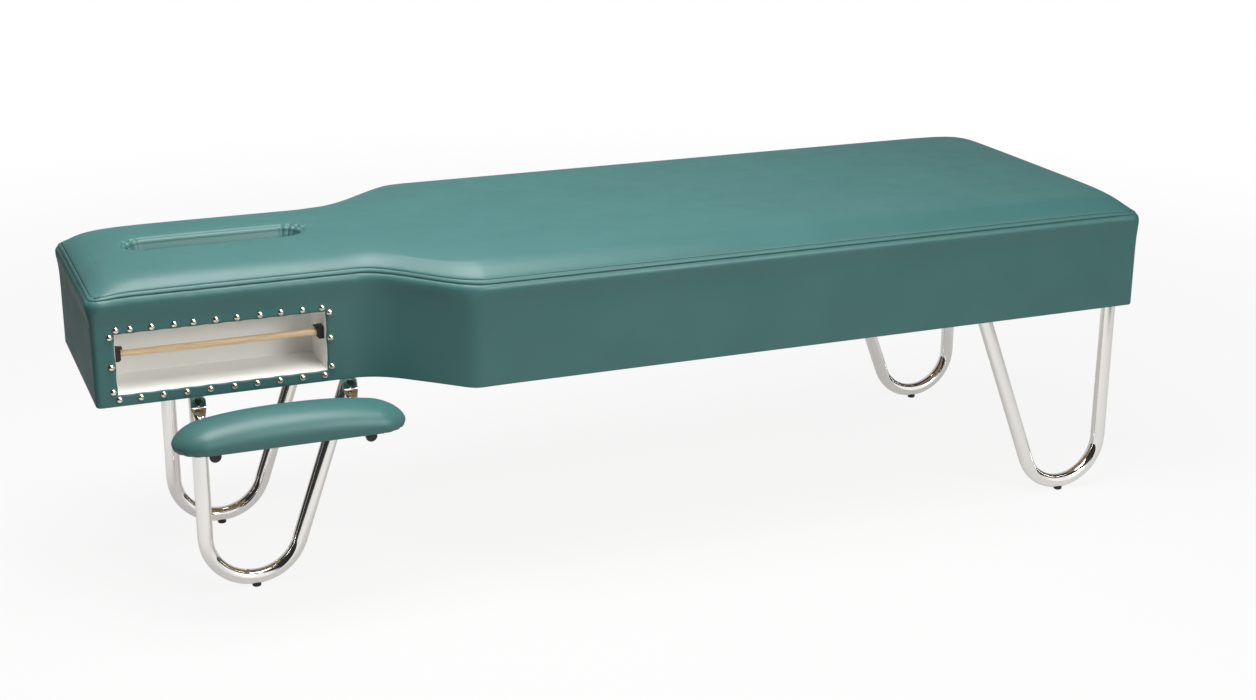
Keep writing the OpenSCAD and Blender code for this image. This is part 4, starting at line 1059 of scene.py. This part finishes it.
HEAD_LEAN, FOOT_LEAN = math.radians(19), math.radians(21)
BEND_FLAT, BEND_WIDE, BEND_MARGIN = 0.965, 1.012, 0.005
LEG_POINTS, BEND_STEPS = 72, 48
# Shares of each limb between its rows of points, in the order in which the tube is drawn
UPRIGHT_SHARES, SLANTED_SHARES = (0.6, 0.25, 0.12, 0.03), (0.03, 0.15, 0.3, 0.52)


def model_leg(node):
    """A tube bent to a V with a round bottom: circle, extrude, spin and extrude. The bend is slightly
    flattened, as in a real one."""
    metal = settings()[1]
    low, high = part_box(node)
    direction, lean = (1, HEAD_LEAN) if "head" in node else (-1, FOOT_LEAN)
    r, bend_r = metal.leg_d / 2, metal.bend_r
    y, top = (low.y + high.y) / 2, high.z
    x = low.x + r if direction > 0 else high.x - r
    centre = Vector((x + direction * bend_r, y, low.z + r + bend_r))
    rest()
    bpy.ops.mesh.primitive_circle_add(vertices=LEG_POINTS, radius=r, fill_type="NGON", location=(x, y, top))
    piece = bpy.context.active_object
    bpy.ops.object.transform_apply(location=True)
    bpy.ops.object.mode_set(mode="EDIT")
    bpy.ops.mesh.select_all(action="SELECT")
    for share in UPRIGHT_SHARES:
        bpy.ops.mesh.extrude_region_move(TRANSFORM_OT_translate={"value": (0, 0, (centre.z - top) * share)})
    bpy.ops.mesh.spin(steps=BEND_STEPS, angle=math.pi - lean, center=centre, axis=(0, direction, 0))
    limb = Vector((direction * math.sin(lean), 0, math.cos(lean)))
    length = (top - centre.z + bend_r * math.sin(lean)) / math.cos(lean)
    for share in SLANTED_SHARES:
        bpy.ops.mesh.extrude_region_move(TRANSFORM_OT_translate={"value": limb * length * share})
    bpy.ops.mesh.select_all(action="SELECT")
    bpy.ops.mesh.remove_doubles(threshold=1e-6)
    bpy.ops.mesh.normals_make_consistent(inside=False)
    bpy.ops.object.mode_set(mode="OBJECT")
    for v in piece.data.vertices:
        rel = v.co - centre
        angle = math.atan2(-rel.z, -rel.x * direction)
        if BEND_MARGIN < angle < math.pi - lean - BEND_MARGIN:
            flat = Vector((rel.x, 0, rel.z))
            flat = flat.normalized() * (bend_r + (flat.length - bend_r) * BEND_FLAT)
            v.co = centre + Vector((flat.x, rel.y * BEND_WIDE, flat.z))
    bpy.ops.object.shade_smooth_by_angle(angle=SHADE_ANGLE)
    return settle(piece, "chrome_" + node, "chrome_plate", "bench", [node])


# The finish for each material of the record
CAD_FINISHES = {
    "plywood": "birch_plywood", "white_laminate": "white_laminate", "black_plastic": "moulded_plastic",
    "nickel": "nickel_plate", "dowel": "birch_dowel", "foam": "open_foam", "vinyl": "upholstery_vinyl",
    "padded_vinyl": "upholstery_vinyl", "chrome": "chrome_plate", "zinc_steel": "zinc_plate",
    "black_steel": "black_oxide",
}


class BENCH_OT_side(bpy.types.Operator):
    """Models the vinyl skirt with the bay's mouth"""
    bl_idname = "bench.side"
    bl_label = "Vinyl side"

    def execute(self, context):
        model_side()
        return {"FINISHED"}


class BENCH_OT_top(bpy.types.Operator):
    """Models the padded top and its row of stitches"""
    bl_idname = "bench.top"
    bl_label = "Padded top"

    def execute(self, context):
        model_stitches(model_top())
        return {"FINISHED"}


class BENCH_OT_lining(bpy.types.Operator):
    """Models the lining of the face slot"""
    bl_idname = "bench.lining"
    bl_label = "Face slot lining"

    def execute(self, context):
        model_lining()
        return {"FINISHED"}


class BENCH_OT_arm_pads(bpy.types.Operator):
    """Models the two arm pads"""
    bl_idname = "bench.arm_pads"
    bl_label = "Arm pads"

    def execute(self, context):
        for side in ("near", "far"):
            model_arm_pad(side, f"arm_pad_{side}")
        return {"FINISHED"}


class BENCH_OT_legs(bpy.types.Operator):
    """Models the four bent tube legs"""
    bl_idname = "bench.legs"
    bl_label = "Legs"

    def execute(self, context):
        for end in ("head", "foot"):
            for side in ("near", "far"):
                model_leg(f"leg_{end}_{side}")
        return {"FINISHED"}


class BENCH_OT_arm_tubes(bpy.types.Operator):
    """Models the four armrest tubes with their flattened tabs"""
    bl_idname = "bench.arm_tubes"
    bl_label = "Armrest tubes"

    def execute(self, context):
        for side in ("near", "far"):
            for end in ("head", "foot"):
                model_arm_tube(f"arm_tube_{side}_{end}")
        return {"FINISHED"}


class BENCH_OT_nails(bpy.types.Operator):
    """Models the domed nails round the bay's mouth"""
    bl_idname = "bench.nails"
    bl_label = "Nails"

    def execute(self, context):
        model_nails()
        return {"FINISHED"}


class BENCH_OT_finishes(bpy.types.Operator):
    """Gives each part of the CAD frame that still shows the finish of its material"""
    bl_idname = "bench.finishes"
    bl_label = "Finishes"

    def execute(self, context):
        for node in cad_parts.values():
            for place in node.material_slots:
                place.material = finish(CAD_FINISHES[place.material.name])
        return {"FINISHED"}


class BENCH_OT_stage(bpy.types.Operator):
    """Sets the floor, the lamps, the white surroundings and the camera"""
    bl_idname = "bench.stage"
    bl_label = "Stage"

    def execute(self, context):
        build_stage()
        return {"FINISHED"}


# The studio. The camera sees it white, metal mirrors it with dark parts, and neither lights the object.

WHITE = (1, 1, 1, 1)
DARK = 0.03
CARD_DIRECTION = (0.45, -0.81, 0.37)
FLOOR_FADE, FLOOR_GLOW, SHADOW_SHARE = 3.5, 0.45, 0.11
CAMERA_PLACE = (-1.273, -3.204, 1.434)
CAMERA_YAW, CAMERA_PITCH, CAMERA_ROLL = (math.radians(a) for a in (22.40, 18.42, 0.33))


def ray_masks(tree):
    """Two masks: 1 for what the camera sees, and 1 for what metal and glass show."""
    path = add(tree, "ShaderNodeLightPath").outputs
    mirrored = add(tree, "ShaderNodeMath", {0: path["Is Glossy Ray"], 1: path["Is Transmission Ray"]},
                   operation="ADD", use_clamp=True)
    return path["Is Camera Ray"], mirrored.outputs[0]


def studio_round(tree):
    """What metal and vinyl mirror round the floor: a dark room with a pale backdrop behind the bench and a
    white card in front on the right."""
    direction = add(tree, "ShaderNodeTexCoord").outputs["Generated"]
    toward = add(tree, "ShaderNodeVectorMath", {0: direction, 1: CARD_DIRECTION}, operation="DOT_PRODUCT")
    card = add(tree, "ShaderNodeMapRange", {
        "Value": toward.outputs["Value"], "From Min": 0.76, "From Max": 0.86, "To Min": DARK},
        interpolation_type="SMOOTHSTEP")
    apart = add(tree, "ShaderNodeSeparateXYZ", {0: direction})
    behind = add(tree, "ShaderNodeMapRange", {
        "Value": apart.outputs["Y"], "From Min": 0.35, "From Max": 0.85, "To Max": 0.6},
        interpolation_type="SMOOTHSTEP")
    both = {0: card.outputs["Result"], 1: behind.outputs["Result"]}
    return add(tree, "ShaderNodeMath", both, operation="MAXIMUM").outputs[0]


def emptied(block):
    """The node tree of a new world or material, emptied."""
    block.use_nodes = True
    block.node_tree.nodes.clear()
    return block.node_tree


def build_world(stage):
    """White for the camera, the dark studio for metal, and an even weak light for the rest."""
    world = bpy.data.worlds.new("white_surroundings")
    tree = emptied(world)
    seen, mirrored = ray_masks(tree)
    soft = add(tree, "ShaderNodeBackground", Color=WHITE, Strength=stage.sky)
    white = add(tree, "ShaderNodeBackground", Color=WHITE, Strength=1.0)
    studio = add(tree, "ShaderNodeBackground", {"Strength": studio_round(tree)}, Color=WHITE)
    lit = add(tree, "ShaderNodeMixShader", {0: mirrored, 1: soft.outputs[0], 2: studio.outputs[0]})
    mix = add(tree, "ShaderNodeMixShader", {0: seen, 1: lit.outputs[0], 2: white.outputs[0]})
    add(tree, "ShaderNodeOutputWorld", {"Surface": mix.outputs[0]})
    bpy.context.scene.world = world


def white_floor(paint):
    """Floor paint with the bench's shadow that fades to plain white, 3.5 m out. Mirrored, the white ends
    1.1 m in front of the bench and 1.3 m left of its middle, as studio paper does."""
    material = bpy.data.materials.new("white_floor")
    tree = emptied(material)
    seen, mirrored = ray_masks(tree)
    place = add(tree, "ShaderNodeTexCoord").outputs["Object"]
    apart = add(tree, "ShaderNodeSeparateXYZ", {0: place}).outputs
    edges = []
    for axis, dark, white in (("Y", -1.6, -1.1), ("X", -1.8, -1.3)):
        edge = add(tree, "ShaderNodeMapRange", {
            "Value": apart[axis], "From Min": dark, "From Max": white, "To Min": DARK},
            interpolation_type="SMOOTHSTEP")
        edges.append(edge.outputs["Result"])
    sheet = add(tree, "ShaderNodeMath", dict(enumerate(edges)), operation="MINIMUM").outputs[0]
    bright = add(tree, "ShaderNodeMath", {0: sheet, 1: seen}, operation="MAXIMUM")
    glow = add(tree, "ShaderNodeEmission", {"Strength": bright.outputs[0]}, Color=WHITE)

    beyond = add(tree, "ShaderNodeMath", {0: 1.0, 1: sheet}, operation="SUBTRACT")
    beyond = add(tree, "ShaderNodeMath", {0: beyond.outputs[0], 1: FLOOR_GLOW}, operation="MAXIMUM")
    beyond = add(tree, "ShaderNodeMath", {0: beyond.outputs[0], 1: mirrored}, operation="MULTIPLY")
    scaled = add(tree, "ShaderNodeMapping", {"Vector": place, "Scale": [1 / FLOOR_FADE] * 3})
    near = add(tree, "ShaderNodeTexGradient", {"Vector": scaled.outputs["Vector"]}, gradient_type="SPHERICAL")
    fade = add(tree, "ShaderNodeMapRange", {"Value": near.outputs["Fac"], "From Max": 0.6},
               interpolation_type="SMOOTHSTEP")
    bare = add(tree, "ShaderNodeMath", {0: fade.outputs["Result"], 1: SHADOW_SHARE}, operation="MULTIPLY")
    share = add(tree, "ShaderNodeMath", {0: seen, 1: bare.outputs[0]}, operation="SUBTRACT", use_clamp=True)
    share = add(tree, "ShaderNodeMath", {0: share.outputs[0], 1: beyond.outputs[0]}, operation="MAXIMUM")
    dull = add(tree, "ShaderNodeBsdfDiffuse", Color=(*paint, 1))
    mix = add(tree, "ShaderNodeMixShader", {0: share.outputs[0], 1: dull.outputs[0], 2: glow.outputs[0]})
    add(tree, "ShaderNodeOutputMaterial", {"Surface": mix.outputs[0]})
    return material


def build_stage():
    """The world, the floor, two soft lamps and the camera."""
    stage = settings()[3]
    rest()
    scene = bpy.context.scene
    scene.view_settings.view_transform = "Standard"
    build_world(stage)

    bpy.ops.mesh.primitive_grid_add(x_subdivisions=8, y_subdivisions=8, size=30, location=(0, 0, 0))
    floor = bpy.context.active_object
    floor.name = floor.data.name = "studio_floor"
    floor.data.materials.append(white_floor(stage.floor))

    lamps = [
        ("overhead_softbox", (-0.5, -0.38, 2.3), (-0.1, -0.1, 0.4), 1.8, 1.4, stage.key),
        ("front_softbox", (1.1, -3.3, 2.1), (0, 0, 0.4), 1.6, 1.2, stage.front),
    ]
    for name, place, target, width, depth, power in lamps:
        bpy.ops.object.light_add(type="AREA", location=place)
        lamp = bpy.context.active_object
        lamp.name = lamp.data.name = name
        lamp.data.shape = "RECTANGLE"
        lamp.data.size, lamp.data.size_y, lamp.data.energy = width, depth, power
        lamp.rotation_euler = (Vector(target) - Vector(place)).to_track_quat("-Z", "Y").to_euler()

    bpy.ops.object.camera_add(location=CAMERA_PLACE)
    camera = bpy.context.active_object
    turn = (Matrix.Rotation(-CAMERA_YAW, 3, "Z") @ Matrix.Rotation(math.pi / 2 - CAMERA_PITCH, 3, "X")
            @ Matrix.Rotation(CAMERA_ROLL, 3, "Z"))
    camera.rotation_euler = turn.to_euler()
    camera.data.lens, camera.data.sensor_width, camera.data.clip_end = stage.lens, 36, 100
    scene.camera = camera


class BENCH_PT_panel(bpy.types.Panel):
    """Lists the pieces of the bench and their settings"""
    bl_idname = "BENCH_PT_panel"
    bl_label = "Treatment bench"
    bl_space_type = "VIEW_3D"
    bl_region_type = "UI"
    bl_category = "Bench"

    def draw(self, context):
        for group in SETTINGS:
            box = self.layout.box()
            for key in SETTINGS[group].__annotations__:
                box.prop(getattr(context.scene, group), key)
        for operator in OPERATORS:
            self.layout.operator(operator.bl_idname)


SETTINGS = {
    "bench_upholstery": UpholsterySettings, "bench_metal": MetalSettings,
    "bench_box": BoxSettings, "bench_stage": StageSettings,
}
OPERATORS = [
    BENCH_OT_side, BENCH_OT_top, BENCH_OT_lining, BENCH_OT_arm_pads, BENCH_OT_legs, BENCH_OT_arm_tubes,
    BENCH_OT_nails, BENCH_OT_finishes, BENCH_OT_stage,
]
CLASSES = [*SETTINGS.values(), *OPERATORS, BENCH_PT_panel]


def register():
    for cls in CLASSES:
        bpy.utils.register_class(cls)
    for name, group in SETTINGS.items():
        setattr(bpy.types.Scene, name, bpy.props.PointerProperty(type=group))


def unregister():
    for name in SETTINGS:
        delattr(bpy.types.Scene, name)
    for cls in reversed(CLASSES):
        bpy.utils.unregister_class(cls)


def main():
    register()
    rest()
    bpy.ops.bench.side()
    bpy.ops.bench.top()
    bpy.ops.bench.lining()
    bpy.ops.bench.arm_pads()
    bpy.ops.bench.legs()
    bpy.ops.bench.arm_tubes()
    bpy.ops.bench.nails()
    bpy.ops.bench.finishes()
    bpy.ops.bench.stage()


if __name__ == "__main__":
    main()
